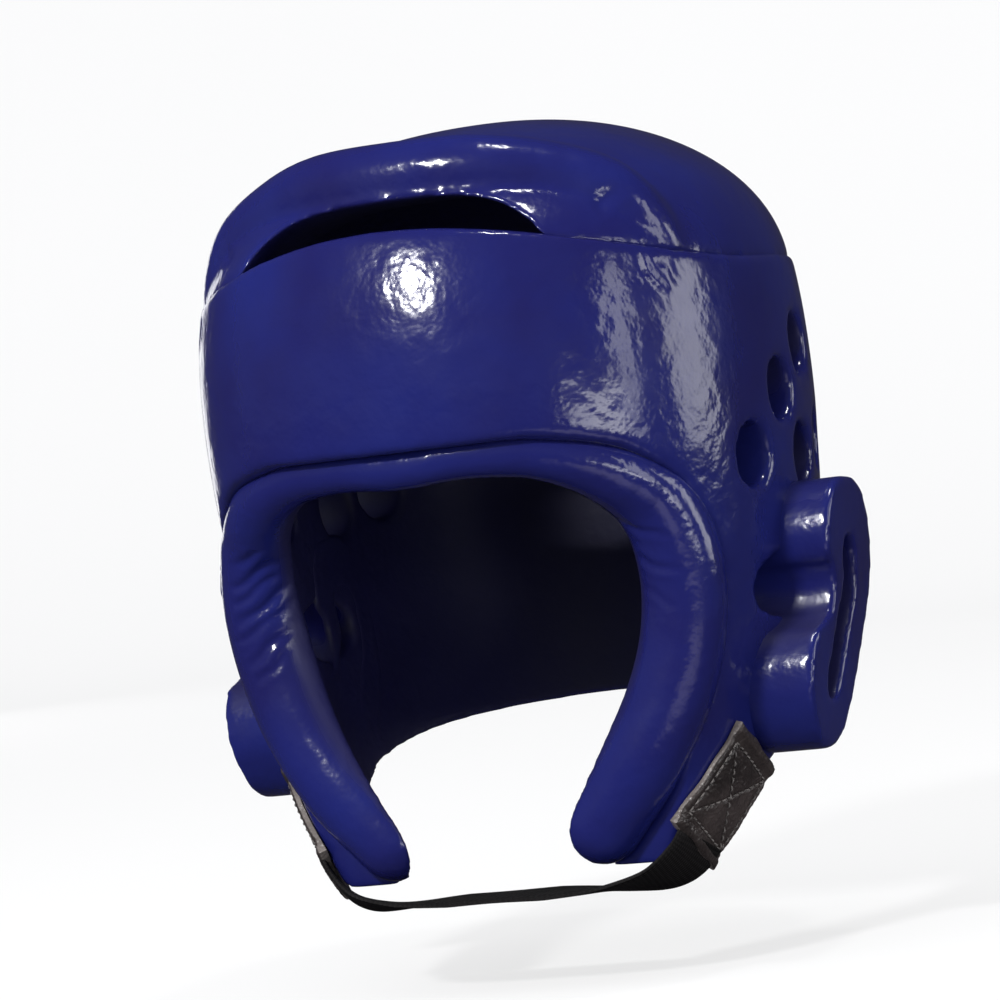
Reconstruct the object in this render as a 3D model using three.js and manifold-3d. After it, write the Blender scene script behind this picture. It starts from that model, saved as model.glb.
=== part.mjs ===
// Sparring headgear of dipped foam: a padded crown, a padded band with the sides, back and jaw in one
// shell, a rolled rim round the face, two raised ear guards, and a chin strap on two stitched patches.
// Millimetres, +Z up, face towards -Y, the wearer's left side at +X.
// The origin is the inside of the crown, where the headgear sits on the top of the head.

import * as THREE from 'three';
import { mergeVertices } from 'three/addons/utils/BufferGeometryUtils.js';
import Module from 'manifold-3d';

const wasm = await Module();
wasm.setup();

// Shell: how far its outer face stands from the origin, and how thick the foam is
const shellHalfWidth = 100;
const shellFrontReach = 122;
const shellBackReach = 124;
const shellDrop = 247;
const foamWall = 20;
const clearance = 0.3;

// Crown: the dome above the crease, which stands a little inside the band
const crownWall = 20;
const crownRise = 65;
const crownInset = 3.5;
const crownPeakBack = 12;
const crownPeakFade = 1.5;
const crownTipRadius = 0.5;
const domeRoundness = 2.1;
const domeBunching = 1.7;

// Crease between crown and band: low at the sides and back, arched up at the front
const creaseDrop = 40;
const creaseArch = 21;

// Front roll of the crown and the crescent vent slot under it
const slotHalfWidth = 68;
const slotTopDrop = 8;
const slotShoulder = 0.75;
const slotFlat = 0.45;
const frontRollRadius = 13;

// Face rim: a foam roll, thin over the brow and full on the cheeks
const browDrop = 97;
const browReach = 109;
const browRollRadius = 8;
const browLipDrop = 92;
const cheekHalfWidth = 78.5;
const cheekReach = 60;
const cheekRollRadius = 13;
const cheekTipDrop = 233;

// Ear guards: how far out their face stands at the top and at the bottom, and where they sit
const guardTopDrop = 119;
const guardHeight = 92;
const guardDepth = 70;
const guardMiddleY = -1;
const guardFaceTop = 118;
const guardFaceBottom = 108;
const guardEdgeRadius = 4;
const guardSlotWidth = 13;
const guardRoot = 0.6;

// Ear opening in the shell, seen in the notch of the guard
const earHoleWidth = 46;
const earHoleHeight = 21;
const earHoleY = -11;
const earHoleDrop = 153;

// Round vents in the sides
const ventDiameter = 22.5;

// Lower edge of the shell: jaw at the front, rising under the ears to the nape
const jawDrop = 242;
const underEarDrop = 209;
const napeDrop = 186;

// Strap patches: they slant down and forward along the jaw, under the ear guards
const patchBelowGuard = 9;
const patchForward = 41;
const patchSink = 4.33;
const patchAlong = new THREE.Vector3(-0.45, -0.53, -0.72).normalize();
const patchFacing = new THREE.Vector3(0.884, -0.333, -0.307).normalize();
const patchLength = 42;
const patchWidth = 31;
const patchThickness = 2.4;

// Chin strap: it leaves the patches a little off the jaw and hangs just under its edge
const strapWidth = 25;
const strapThickness = 2;
const strapStandOff = 6.4;
const strapBelowJaw = 8;
const strapReach = 63;

// How finely the round forms are divided
const sectors = 40;
const rollSides = 12;
const rollTipShares = [0.97, 0.72, 0.38];

// Outer form of the band and sides, as shares of shellDrop, shellHalfWidth and the two reaches
const shellSections = [
  { drop: 0.0, width: 0.91, front: 0.85, back: 0.9, roundness: 2.1 },
  { drop: 0.08, width: 0.955, front: 0.92, back: 0.945, roundness: 2.15 },
  { drop: 0.16, width: 0.985, front: 0.97, back: 0.98, roundness: 2.2 },
  { drop: 0.26, width: 1.0, front: 1.0, back: 1.0, roundness: 2.25 },
  { drop: 0.39, width: 1.0, front: 0.995, back: 1.0, roundness: 2.25 },
  { drop: 0.53, width: 0.98, front: 0.97, back: 0.975, roundness: 2.2 },
  { drop: 0.66, width: 0.95, front: 0.93, back: 0.93, roundness: 2.1 },
  { drop: 0.78, width: 0.905, front: 0.895, back: 0.88, roundness: 2.05 },
  { drop: 0.88, width: 0.84, front: 0.86, back: 0.84, roundness: 2.0 },
  { drop: 1.0, width: 0.71, front: 0.8, back: 0.78, roundness: 2.0 },
  { drop: 1.12, width: 0.55, front: 0.7, back: 0.7, roundness: 2.0 },
];

// Middle line of the face rim on the wearer's left, from the brow to the tip of the cheek:
// width and reach run from the brow (0) to the cheek (1), drop from the brow (0) to the tip (1)
const rimStations = [
  { width: 0.0, reach: 0.0, drop: 0.0, fullness: 0.0 },
  { width: 0.28, reach: 0.04, drop: -0.01, fullness: 0.0 },
  { width: 0.56, reach: 0.2, drop: 0.0, fullness: 0.15 },
  { width: 0.8, reach: 0.5, drop: 0.06, fullness: 0.5 },
  { width: 0.95, reach: 0.85, drop: 0.17, fullness: 0.85 },
  { width: 1.0, reach: 1.0, drop: 0.33, fullness: 1.0 },
  { width: 0.97, reach: 1.03, drop: 0.5, fullness: 1.0 },
  { width: 0.88, reach: 1.0, drop: 0.66, fullness: 1.0 },
  { width: 0.71, reach: 0.95, drop: 0.83, fullness: 1.0 },
  { width: 0.5, reach: 0.96, drop: 0.98, fullness: 0.96 },
];

// Front roll on the wearer's left: shares of slotHalfWidth, of the shell's front reach, and of the
// drop from its crest, level with the seat, to its foot on the crease
const frontRollStations = [
  { width: 0.0, reach: 0.68, drop: 0.0 },
  { width: 0.44, reach: 0.655, drop: 0.03 },
  { width: 0.765, reach: 0.575, drop: 0.2 },
  { width: 0.97, reach: 0.475, drop: 0.54 },
  { width: 1.03, reach: 0.41, drop: 0.92 },
  { width: 1.045, reach: 0.385, drop: 1.2 },
];

// Outline of the ear guard's face: shares of guardDepth from its middle (forward is negative)
// and of guardHeight down from its top
const guardOutline = [
  { along: 0.1, down: 0.0 },
  { along: 0.27, down: 0.02 },
  { along: 0.42, down: 0.11 },
  { along: 0.5, down: 0.27 },
  { along: 0.47, down: 0.45 },
  { along: 0.33, down: 0.64 },
  { along: 0.17, down: 0.83 },
  { along: 0.0, down: 0.96 },
  { along: -0.2, down: 1.0 },
  { along: -0.38, down: 0.95 },
  { along: -0.5, down: 0.8 },
  { along: -0.49, down: 0.66 },
  { along: -0.4, down: 0.56 },
  { along: -0.26, down: 0.525 },
  { along: -0.16, down: 0.49 },
  { along: -0.115, down: 0.41 },
  { along: -0.135, down: 0.33 },
  { along: -0.2, down: 0.28 },
  { along: -0.215, down: 0.19 },
  { along: -0.16, down: 0.08 },
  { along: -0.05, down: 0.01 },
];

// Curved slot in the guard's face, top to bottom, in the same shares
const guardSlotLine = [
  { along: 0.13, down: 0.29 },
  { along: 0.13, down: 0.42 },
  { along: 0.02, down: 0.55 },
  { along: -0.1, down: 0.7 },
  { along: -0.15, down: 0.75 },
];

// Round vents on each side: y as a share of the shell's front reach, and height as a share of the
// drop from the crease to the top of the ear guard
const ventPlaces = [
  { reach: -0.26, down: 0.85 },
  { reach: -0.04, down: 0.58 },
  { reach: 0.18, down: 0.39 },
  { reach: 0.13, down: 0.88 },
  { reach: 0.37, down: 0.82 },
];

// Lower edge of the shell seen from the side: y as a share of the front reach (negative) or the back
// reach, and its rise from the jaw (0) to under the ear (1) and on to the nape (2)
const hemStations = [
  { reach: -1.3, rise: 0 },
  { reach: -0.4, rise: 0 },
  { reach: -0.22, rise: 0.5 },
  { reach: -0.06, rise: 1 },
  { reach: 0.3, rise: 1.5 },
  { reach: 1.3, rise: 2 },
];

// Strap from the middle under the chin to the end of the patch on the wearer's left: shares of the
// distance across, forward and down between them, and of the turn from the patch's slope to flat
const strapStations = [
  { across: 0.0, reach: 1.0, drop: 1.0, turn: 1.0 },
  { across: 0.3, reach: 0.95, drop: 1.01, turn: 1.0 },
  { across: 0.6, reach: 0.78, drop: 1.0, turn: 0.85 },
  { across: 0.8, reach: 0.5, drop: 0.84, turn: 0.55 },
  { across: 0.93, reach: 0.2, drop: 0.45, turn: 0.2 },
  { across: 1.0, reach: 0.0, drop: 0.0, turn: 0.0 },
];

const skin = (color, roughness) => () => new THREE.MeshStandardMaterial({ color, roughness, metalness: 0 });
const blueFoam = skin(0x1b2b8f, 0.18);
const blackLeatherette = skin(0x1d1a19, 0.45);
const blackWebbing = skin(0x17151a, 0.85);

// Value of one column of a table between its rows, on a smooth curve
function columnAt(rows, by, column, place) {
  const last = rows.length - 1;
  let row = 0;
  while (row < last - 1 && place > rows[row + 1][by]) row += 1;
  const slopeAt = (i) => {
    const before = rows[Math.max(i - 1, 0)];
    const after = rows[Math.min(i + 1, last)];
    return (after[column] - before[column]) / (after[by] - before[by]);
  };
  const span = rows[row + 1][by] - rows[row][by];
  const t = (place - rows[row][by]) / span;
  const start = rows[row][column];
  const end = rows[row + 1][column];
  const rise = t * t * (3 - 2 * t);
  return (
    start + (end - start) * rise +
    span * t * (1 - t) * ((1 - t) * slopeAt(row) - t * slopeAt(row + 1))
  );
}

// Closed mesh through a row of rings with the same number of points, with a fan at each end
function loftRings(rings) {
  const count = rings[0].length;
  const points = [];
  const triangles = [];
  for (const ring of rings) points.push(...ring);
  for (let r = 0; r + 1 < rings.length; r += 1) {
    for (let i = 0; i < count; i += 1) {
      const a = r * count + i;
      const b = r * count + ((i + 1) % count);
      triangles.push(a, b, b + count, a, b + count, a + count);
    }
  }
  const endRings = [0, rings.length - 1];
  for (const end of endRings) {
    const middle = points.length;
    const sum = rings[end].reduce((total, point) => total.add(point), new THREE.Vector3());
    points.push(sum.divideScalar(count));
    for (let i = 0; i < count; i += 1) {
      const a = end * count + i;
      const b = end * count + ((i + 1) % count);
      if (end === 0) triangles.push(middle, b, a);
      else triangles.push(middle, a, b);
    }
  }
  return facedOut(points, triangles);
}

// Geometry from points and triangles, turned so that its faces point outwards
function facedOut(points, triangles) {
  let volume = 0;
  for (let t = 0; t < triangles.length; t += 3) {
    const [a, b, c] = [points[triangles[t]], points[triangles[t + 1]], points[triangles[t + 2]]];
    volume += a.dot(new THREE.Vector3().crossVectors(b, c));
  }
  const order = volume > 0 ? triangles : triangles.slice().reverse();
  const geometry = new THREE.BufferGeometry().setFromPoints(points);
  geometry.setIndex(order);
  return geometry;
}

function toSolid(geometry) {
  const bare = geometry.clone();
  bare.deleteAttribute('normal');
  bare.deleteAttribute('uv');
  const merged = mergeVertices(bare, 1e-4);
  const mesh = new wasm.Mesh({
    numProp: 3,
    vertProperties: new Float32Array(merged.attributes.position.array),
    triVerts: new Uint32Array(merged.index.array),
  });
  return new wasm.Manifold(mesh);
}

function toGeometry(solid) {
  const mesh = solid.getMesh();
  const geometry = new THREE.BufferGeometry();
  geometry.setAttribute('position', new THREE.BufferAttribute(new Float32Array(mesh.vertProperties), 3));
  geometry.setIndex(new THREE.BufferAttribute(new Uint32Array(mesh.triVerts), 1));
  return geometry;
}

// The same geometry on the other side of the middle plane
function mirrored(geometry) {
  const other = geometry.index ? geometry.toNonIndexed() : geometry.clone();
  const place = other.attributes.position;
  for (let i = 0; i < place.count; i += 3) {
    const [a, b, c] = [0, 2, 1].map((k) => new THREE.Vector3().fromBufferAttribute(place, i + k));
    [a, b, c].forEach((point, k) => place.setXYZ(i + k, -point.x, point.y, point.z));
  }
  return other;
}

// Oval ring at one height, with its own reach to the front and to the back
function ovalRing({ z, width, front, back, middle = 0, roundness = 2 }) {
  const ring = [];
  for (let i = 0; i < sectors; i += 1) {
    const angle = (2 * Math.PI * i) / sectors;
    const across = Math.sign(Math.sin(angle)) * Math.abs(Math.sin(angle)) ** (2 / roundness);
    const along = Math.sign(Math.cos(angle)) * Math.abs(Math.cos(angle)) ** (2 / roundness);
    const reach = along > 0 ? front + middle : back - middle;
    ring.push(new THREE.Vector3(width * across, middle - reach * along, z));
  }
  return ring;
}

// Size of the band and sides at a height, moved in by an inset
function shellRing(z, inset) {
  const drop = -z / shellDrop;
  return {
    z,
    width: shellHalfWidth * columnAt(shellSections, 'drop', 'width', drop) - inset,
    front: shellFrontReach * columnAt(shellSections, 'drop', 'front', drop) - inset,
    back: shellBackReach * columnAt(shellSections, 'drop', 'back', drop) - inset,
    roundness: columnAt(shellSections, 'drop', 'roundness', drop),
  };
}

// Rings of a dome from its top down to the widest ring, which is given
function domeRings(top, widest, rows) {
  const rings = [];
  for (let i = 1; i < rows; i += 1) {
    const share = (i / rows) ** domeBunching;
    const spread = (1 - (1 - share) ** domeRoundness) ** (1 / domeRoundness);
    const middle = crownPeakBack * (1 - share) ** crownPeakFade;
    rings.push({
      z: top - share * (top - widest.z),
      width: widest.width * spread,
      front: (widest.front + middle) * spread - middle,
      back: (widest.back - middle) * spread + middle,
      middle,
      roundness: widest.roundness,
    });
  }
  return rings;
}

const lowestRing = -1.1 * shellDrop;
const belowAll = -1.2 * shellDrop;
const crownMeetsSide = crownWall - crownRise;
const slotTipDrop = creaseDrop - creaseArch / 2;
const browLift = (browDrop - browLipDrop) / 2;

function shellHeights(from, to, count) {
  return Array.from({ length: count + 1 }, (_, i) => from + ((to - from) * i) / count);
}

// Outer form of the band and sides, without the crown
function bandForm(grow = 0) {
  const rings = shellHeights(-0.02 * shellDrop, lowestRing, 18).map((z) => shellRing(z, -grow));
  return toSolid(loftRings(rings.map(ovalRing)));
}

// The nearly closed ring at the very top of a dome
function tipRing(first, top) {
  return {
    ...first,
    z: top - crownTipRadius / 10,
    width: crownTipRadius,
    front: crownTipRadius - crownPeakBack,
    back: crownTipRadius + crownPeakBack,
  };
}

// Outer form of the crown, carried on below the crease so that it can be cut there
function crownForm() {
  const widest = shellRing(crownMeetsSide, crownInset);
  const rings = [...domeRings(crownWall, widest, 9), widest, { ...widest, z: widest.z - crownRise / 2 }];
  return toSolid(loftRings([tipRing(rings[0], crownWall), ...rings].map(ovalRing)));
}

// The hollow for the head
function headForm() {
  const widest = shellRing(crownMeetsSide, foamWall);
  const below = shellHeights(crownMeetsSide, lowestRing - 1, 14).slice(1).map((z) => shellRing(z, foamWall));
  const rings = [...domeRings(0, widest, 8), widest, ...below];
  return toSolid(loftRings([tipRing(rings[0], 0), ...rings].map(ovalRing)));
}

// Height of the crease round the head, from the front (0) to the back
function creaseHeight(angle) {
  const ahead = Math.max(Math.cos(angle), 0);
  return -creaseDrop + creaseArch * ahead ** 2;
}

// All that lies above the crease, moved up by a shift
function aboveCrease(shift) {
  const ring = (radius, lift) => Array.from({ length: sectors }, (_, i) => {
    const angle = (2 * Math.PI * i) / sectors;
    const x = radius * Math.sin(angle);
    const y = -radius * Math.cos(angle);
    return new THREE.Vector3(x, y, lift ?? creaseHeight(angle) + shift);
  });
  const beyond = 2 * shellBackReach;
  const within = shellHalfWidth / 2;
  return toSolid(loftRings([ring(within), ring(beyond), ring(beyond, beyond), ring(within, beyond)]));
}

// Round rolled pad along a line of places, with a radius at each and round ends where asked
function rolledPad(places, radii, facing, roundEnds) {
  const line = new THREE.CatmullRomCurve3(places, false, 'centripetal');
  const rows = radii.map((radius, i) => ({ at: i / (radii.length - 1), radius }));
  const steps = 3 * (places.length - 1);
  const rings = [];
  const addRing = (at, size, shift) => {
    const middle = line.getPoint(at);
    const ahead = line.getTangent(at);
    const up = facing(middle).clone().addScaledVector(ahead, -facing(middle).dot(ahead)).normalize();
    const side = new THREE.Vector3().crossVectors(ahead, up);
    const ring = [];
    for (let i = 0; i < rollSides; i += 1) {
      const angle = (2 * Math.PI * i) / rollSides;
      const point = middle.clone().addScaledVector(ahead, shift);
      point.addScaledVector(up, size * Math.cos(angle)).addScaledVector(side, size * Math.sin(angle));
      ring.push(point);
    }
    rings.push(ring);
  };
  if (roundEnds) {
    for (const lift of rollTipShares) addRing(0, radii[0] * Math.sqrt(1 - lift ** 2), -radii[0] * lift);
  }
  for (let i = 0; i <= steps; i += 1) {
    addRing(i / steps, columnAt(rows, 'at', 'radius', i / steps), 0);
  }
  const last = radii[radii.length - 1];
  if (roundEnds) {
    for (const lift of rollTipShares.slice().reverse()) {
      addRing(1, last * Math.sqrt(1 - lift ** 2), last * lift);
    }
  }
  return loftRings(rings);
}

// Places on both sides of the middle plane from those of the wearer's left side
function bothSides(places) {
  const right = places.slice(1).reverse().map((point) => new THREE.Vector3(-point.x, point.y, point.z));
  return [...right, ...places];
}

function bothSidesOf(values) {
  return [...values.slice(1).reverse(), ...values];
}

function rimPlaces() {
  return rimStations.map(({ width, reach, drop }) => new THREE.Vector3(
    cheekHalfWidth * width,
    -browReach + (browReach - cheekReach) * reach,
    -browDrop - (cheekTipDrop - browDrop) * drop,
  ));
}

function rimForm(grow) {
  const radii = rimStations.map(({ fullness }) => (
    browRollRadius + (cheekRollRadius - browRollRadius) * fullness + grow
  ));
  const facing = () => new THREE.Vector3(0, -1, 0);
  return toSolid(rolledPad(bothSides(rimPlaces()), bothSidesOf(radii), facing, true));
}

// What is cut away in front of the face, inside the middle line of the rim
function faceOpening() {
  const left = rimPlaces().map((place) => place.setZ(place.z + browLift));
  const tip = left[left.length - 1];
  const chin = new THREE.Vector3(tip.x, 0, belowAll);
  const corners = bothSides([...left, chin]).map((point) => new THREE.Vector2(point.x, point.z));
  const outline = new THREE.Shape(corners);
  const geometry = new THREE.ExtrudeGeometry(outline, { depth: 1.5 * shellFrontReach, bevelEnabled: false });
  geometry.rotateX(Math.PI / 2);
  return toSolid(geometry);
}

// What is cut away ahead of the rim, so that the shell ends in a lip over the brow and the rim
// stands in front of it down the cheeks
function aheadOfRim() {
  const ahead = -2 * shellFrontReach;
  const outline = new THREE.Shape();
  outline.moveTo(ahead, -browLipDrop);
  outline.lineTo(-browReach, -browLipDrop);
  for (const place of rimPlaces().slice(3)) {
    outline.lineTo(place.y, place.z + browLift);
  }
  outline.lineTo(-cheekReach, belowAll);
  outline.lineTo(ahead, belowAll);
  const geometry = new THREE.ExtrudeGeometry(outline, { depth: 4 * shellHalfWidth, bevelEnabled: false });
  return toSolid(sideways(geometry, -2 * shellHalfWidth));
}

function frontRollForm() {
  const left = frontRollStations.map(({ width, reach, drop }) => new THREE.Vector3(
    slotHalfWidth * width,
    -shellFrontReach * reach,
    -slotTipDrop * drop,
  ));
  const radii = bothSides(left).map(() => frontRollRadius);
  const facing = (point) => point.clone().sub(new THREE.Vector3(0, 0, -creaseDrop)).normalize();
  return toSolid(rolledPad(bothSides(left), radii, facing, false));
}

// Crescent above the crease, cut straight through the front of the crown
function slotForm() {
  const [half, top] = [slotHalfWidth, -slotTopDrop];
  const outline = new THREE.Shape();
  outline.moveTo(-half, -slotTipDrop);
  outline.bezierCurveTo(-slotShoulder * half, top, -slotFlat * half, top, 0, top);
  outline.bezierCurveTo(slotFlat * half, top, slotShoulder * half, top, half, -slotTipDrop);
  outline.lineTo(half, -2 * slotTipDrop);
  outline.lineTo(-half, -2 * slotTipDrop);
  const geometry = new THREE.ExtrudeGeometry(outline, {
    depth: 1.5 * shellFrontReach, bevelEnabled: false, curveSegments: 10,
  });
  geometry.rotateX(Math.PI / 2);
  return toSolid(geometry);
}

// One place on the lower edge of the shell
function hemPoint({ reach, rise }) {
  const toEar = Math.min(rise, 1);
  const toNape = Math.max(rise - 1, 0);
  const drop = jawDrop + (underEarDrop - jawDrop) * toEar + (napeDrop - underEarDrop) * toNape;
  return new THREE.Vector2((reach < 0 ? shellFrontReach : shellBackReach) * reach, -drop);
}

// All that lies below the lower edge of the shell
function belowHem() {
  const outline = new THREE.Shape();
  const curve = new THREE.SplineCurve(hemStations.map(hemPoint));
  const points = curve.getPoints(16);
  outline.moveTo(points[0].x, -2 * shellDrop);
  for (const point of points) outline.lineTo(point.x, point.y);
  outline.lineTo(points[points.length - 1].x, -2 * shellDrop);
  const geometry = new THREE.ExtrudeGeometry(outline, { depth: 4 * shellHalfWidth, bevelEnabled: false });
  return toSolid(sideways(geometry, -2 * shellHalfWidth));
}

// Turns an outline drawn in y and z, with its depth along x, and starts it at a given x
function sideways(geometry, startX) {
  const turned = geometry.clone();
  const place = turned.attributes.position;
  for (let i = 0; i < place.count; i += 1) {
    place.setXYZ(i, startX + place.getZ(i), place.getX(i), place.getY(i));
  }
  return turned;
}

// Round or oval bore through the shell on one side
function sideBore(y, z, width, height, segments) {
  const outline = new THREE.Shape();
  outline.absellipse(0, 0, width / 2, height / 2, 0, 2 * Math.PI, false);
  const options = { depth: 1.5 * shellHalfWidth, bevelEnabled: false, curveSegments: segments };
  const geometry = new THREE.ExtrudeGeometry(outline, options);
  geometry.translate(y, z, 0);
  return sideways(geometry, shellHalfWidth / 4);
}

function ventBores() {
  return ventPlaces.map(({ reach, down }) => sideBore(
    shellFrontReach * reach,
    -creaseDrop - (guardTopDrop - creaseDrop) * down,
    ventDiameter, ventDiameter, 7,
  ));
}

function earBore() {
  return sideBore(earHoleY, -earHoleDrop, earHoleWidth, earHoleHeight, 8);
}

function guardPoint({ along, down }) {
  return new THREE.Vector2(guardMiddleY + guardDepth * along, -guardTopDrop - guardHeight * down);
}

// One ear guard on the wearer's left, leaning in towards its bottom
function guardForm() {
  const edge = new THREE.SplineCurve([...guardOutline, guardOutline[0]].map(guardPoint));
  const outline = new THREE.Shape(edge.getPoints(40).slice(0, -1));
  const innerStart = shellHalfWidth * guardRoot;
  const body = new THREE.ExtrudeGeometry(outline, {
    depth: guardFaceTop - innerStart - guardEdgeRadius,
    bevelEnabled: true,
    bevelThickness: guardEdgeRadius,
    bevelSize: guardEdgeRadius,
    bevelOffset: -guardEdgeRadius,
    bevelSegments: 2,
  });
  const leaned = sideways(body, innerStart);
  const place = leaned.attributes.position;
  for (let i = 0; i < place.count; i += 1) {
    const down = (-guardTopDrop - place.getZ(i)) / guardHeight;
    place.setX(i, place.getX(i) - (guardFaceTop - guardFaceBottom) * down);
  }
  return toSolid(leaned).subtract(guardSlot()).subtract(bandForm(clearance));
}

function guardSlot() {
  const middle = new THREE.SplineCurve(guardSlotLine.map(guardPoint)).getPoints(8);
  const sides = [1, -1].map((side) => middle.map((point, i) => {
    const ahead = middle[Math.min(i + 1, 8)].clone().sub(middle[Math.max(i - 1, 0)]).normalize();
    const out = new THREE.Vector2(-ahead.y, ahead.x).multiplyScalar(side * guardSlotWidth / 2);
    return out.add(point);
  }));
  const outline = new THREE.Shape([...sides[0], ...sides[1].reverse()]);
  const geometry = new THREE.ExtrudeGeometry(outline, { depth: 2 * shellHalfWidth, bevelEnabled: false });
  return toSolid(sideways(geometry, 0));
}

// Middle of a patch's block: a little under the shell's face, below the ear guard
function patchPlace() {
  const drop = guardTopDrop + guardHeight + patchBelowGuard;
  const { width, front, roundness } = shellRing(-drop, 0);
  const face = width * (1 - (patchForward / front) ** roundness) ** (1 / roundness);
  return new THREE.Vector3(face - patchSink, -patchForward, -drop);
}

// Leatherette patch that lies on the jaw, cut to its outline from a skin over the shell
function patchForm() {
  const across = new THREE.Vector3().crossVectors(patchFacing, patchAlong);
  const block = new THREE.BoxGeometry(patchLength, patchWidth, 4 * foamWall);
  const turn = new THREE.Matrix4().makeBasis(patchAlong, across, patchFacing);
  block.applyMatrix4(turn.setPosition(patchMiddle));
  return toSolid(block)
    .intersect(bandForm(clearance + patchThickness))
    .subtract(bandForm(clearance))
    .subtract(rimCut);
}

// Webbing strap from patch to patch under the chin, turning from the jaw's slope to flat
function strapForm() {
  const start = patchMiddle.clone()
    .addScaledVector(patchAlong, patchLength / 2 + 2 * clearance)
    .addScaledVector(patchFacing, strapStandOff);
  const acrossPatch = new THREE.Vector3().crossVectors(patchFacing, patchAlong);
  const left = strapStations.map(({ across, reach, drop }) => new THREE.Vector3(
    start.x * across,
    start.y + (-strapReach - start.y) * reach,
    start.z + (-jawDrop - strapBelowJaw - start.z) * drop,
  ));
  const line = new THREE.CatmullRomCurve3(bothSides(left), false, 'centripetal');
  const turns = bothSidesOf(strapStations.map(({ turn }) => turn));
  const rows = turns.map((turn, i) => ({ at: i / (turns.length - 1), turn }));
  const steps = 4 * (turns.length - 1);
  const rings = [];
  for (let i = 0; i <= steps; i += 1) {
    const middle = line.getPoint(i / steps);
    const ahead = line.getTangent(i / steps);
    const sloped = acrossPatch.clone();
    sloped.x *= Math.sign(middle.x);
    const wide = sloped.lerp(new THREE.Vector3(0, 1, 0), columnAt(rows, 'at', 'turn', i / steps));
    wide.addScaledVector(ahead, -wide.dot(ahead)).normalize();
    const thick = new THREE.Vector3().crossVectors(ahead, wide);
    rings.push([[1, 1], [-1, 1], [-1, -1], [1, -1]].map(([w, t]) => middle.clone()
      .addScaledVector(wide, w * strapWidth / 2)
      .addScaledVector(thick, t * strapThickness / 2)));
  }
  return toSolid(loftRings(rings));
}

const head = headForm();
const rimCut = rimForm(clearance);
const patchMiddle = patchPlace();

const crown = crownForm().add(frontRollForm())
  .subtract(head)
  .subtract(slotForm())
  .intersect(aboveCrease(clearance));

let band = bandForm()
  .subtract(head)
  .subtract(aboveCrease(0))
  .subtract(faceOpening())
  .subtract(aheadOfRim())
  .subtract(rimCut)
  .subtract(belowHem());
for (const bore of [...ventBores(), earBore()]) {
  band = band.subtract(toSolid(bore)).subtract(toSolid(mirrored(bore)));
}

const rim = rimForm(0).subtract(head);
const guard = toGeometry(guardForm());
const patch = toGeometry(patchForm());

const group = new THREE.Group();

function addPiece(name, geometry, material) {
  const mesh = new THREE.Mesh(geometry, material);
  mesh.name = name;
  group.add(mesh);
}

addPiece('crown_pad', toGeometry(crown), blueFoam());
addPiece('head_band', toGeometry(band), blueFoam());
addPiece('cheek_roll', toGeometry(rim), blueFoam());
addPiece('ear_guard_left', guard, blueFoam());
addPiece('ear_guard_right', mirrored(guard), blueFoam());
addPiece('strap_patch_left', patch, blackLeatherette());
addPiece('strap_patch_right', mirrored(patch), blackLeatherette());
addPiece('chin_strap', toGeometry(strapForm()), blackWebbing());

export default group;
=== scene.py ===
"""Sparring headgear of dipped foam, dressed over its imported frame.

The foam pads are lofted from the same sections as the frame's solids, cut, remeshed and relaxed, so
that every edge has the round lip that the vinyl dip gives it. Metres, +Z up, face towards -Y, the
wearer's left side at +X. The origin is the inside of the crown.
"""

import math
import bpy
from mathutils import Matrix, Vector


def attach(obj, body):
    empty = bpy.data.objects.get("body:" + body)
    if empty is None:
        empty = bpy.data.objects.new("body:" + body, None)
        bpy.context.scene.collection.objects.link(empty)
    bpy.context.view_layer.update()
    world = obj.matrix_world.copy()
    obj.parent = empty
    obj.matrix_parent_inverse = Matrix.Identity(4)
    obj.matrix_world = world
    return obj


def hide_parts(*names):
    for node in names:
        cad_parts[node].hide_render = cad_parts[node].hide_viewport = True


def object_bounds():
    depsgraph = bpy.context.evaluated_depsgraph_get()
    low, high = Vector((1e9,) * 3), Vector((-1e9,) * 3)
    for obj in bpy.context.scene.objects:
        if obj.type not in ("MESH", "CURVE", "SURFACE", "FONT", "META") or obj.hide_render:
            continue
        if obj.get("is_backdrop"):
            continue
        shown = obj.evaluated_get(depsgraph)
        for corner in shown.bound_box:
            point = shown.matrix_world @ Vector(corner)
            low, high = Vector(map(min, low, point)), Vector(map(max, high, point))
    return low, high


bl_info = {
    "name": "Sparring Headgear",
    "version": (1, 0, 0),
    "blender": (4, 5, 0),
    "location": "3D View > Sidebar > Headgear",
    "description": "Dipped foam sparring headgear with vents, ear guards, face rim and chin strap",
    "category": "Object",
}

import bpy
import numpy as np
from bpy.props import FloatProperty, FloatVectorProperty, PointerProperty
from mathutils import Matrix, Vector
from mathutils.bvhtree import BVHTree

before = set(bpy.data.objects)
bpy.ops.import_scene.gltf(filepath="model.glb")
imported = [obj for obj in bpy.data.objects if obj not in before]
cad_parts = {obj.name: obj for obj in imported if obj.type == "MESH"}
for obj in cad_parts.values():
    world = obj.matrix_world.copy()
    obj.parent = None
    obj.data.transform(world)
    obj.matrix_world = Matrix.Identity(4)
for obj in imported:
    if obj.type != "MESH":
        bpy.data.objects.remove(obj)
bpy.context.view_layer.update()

MM = 0.001


def named_rows(columns, table):
    """Table whose rows name their columns."""
    return [dict(zip(columns.split(), values)) for values in table]


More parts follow.
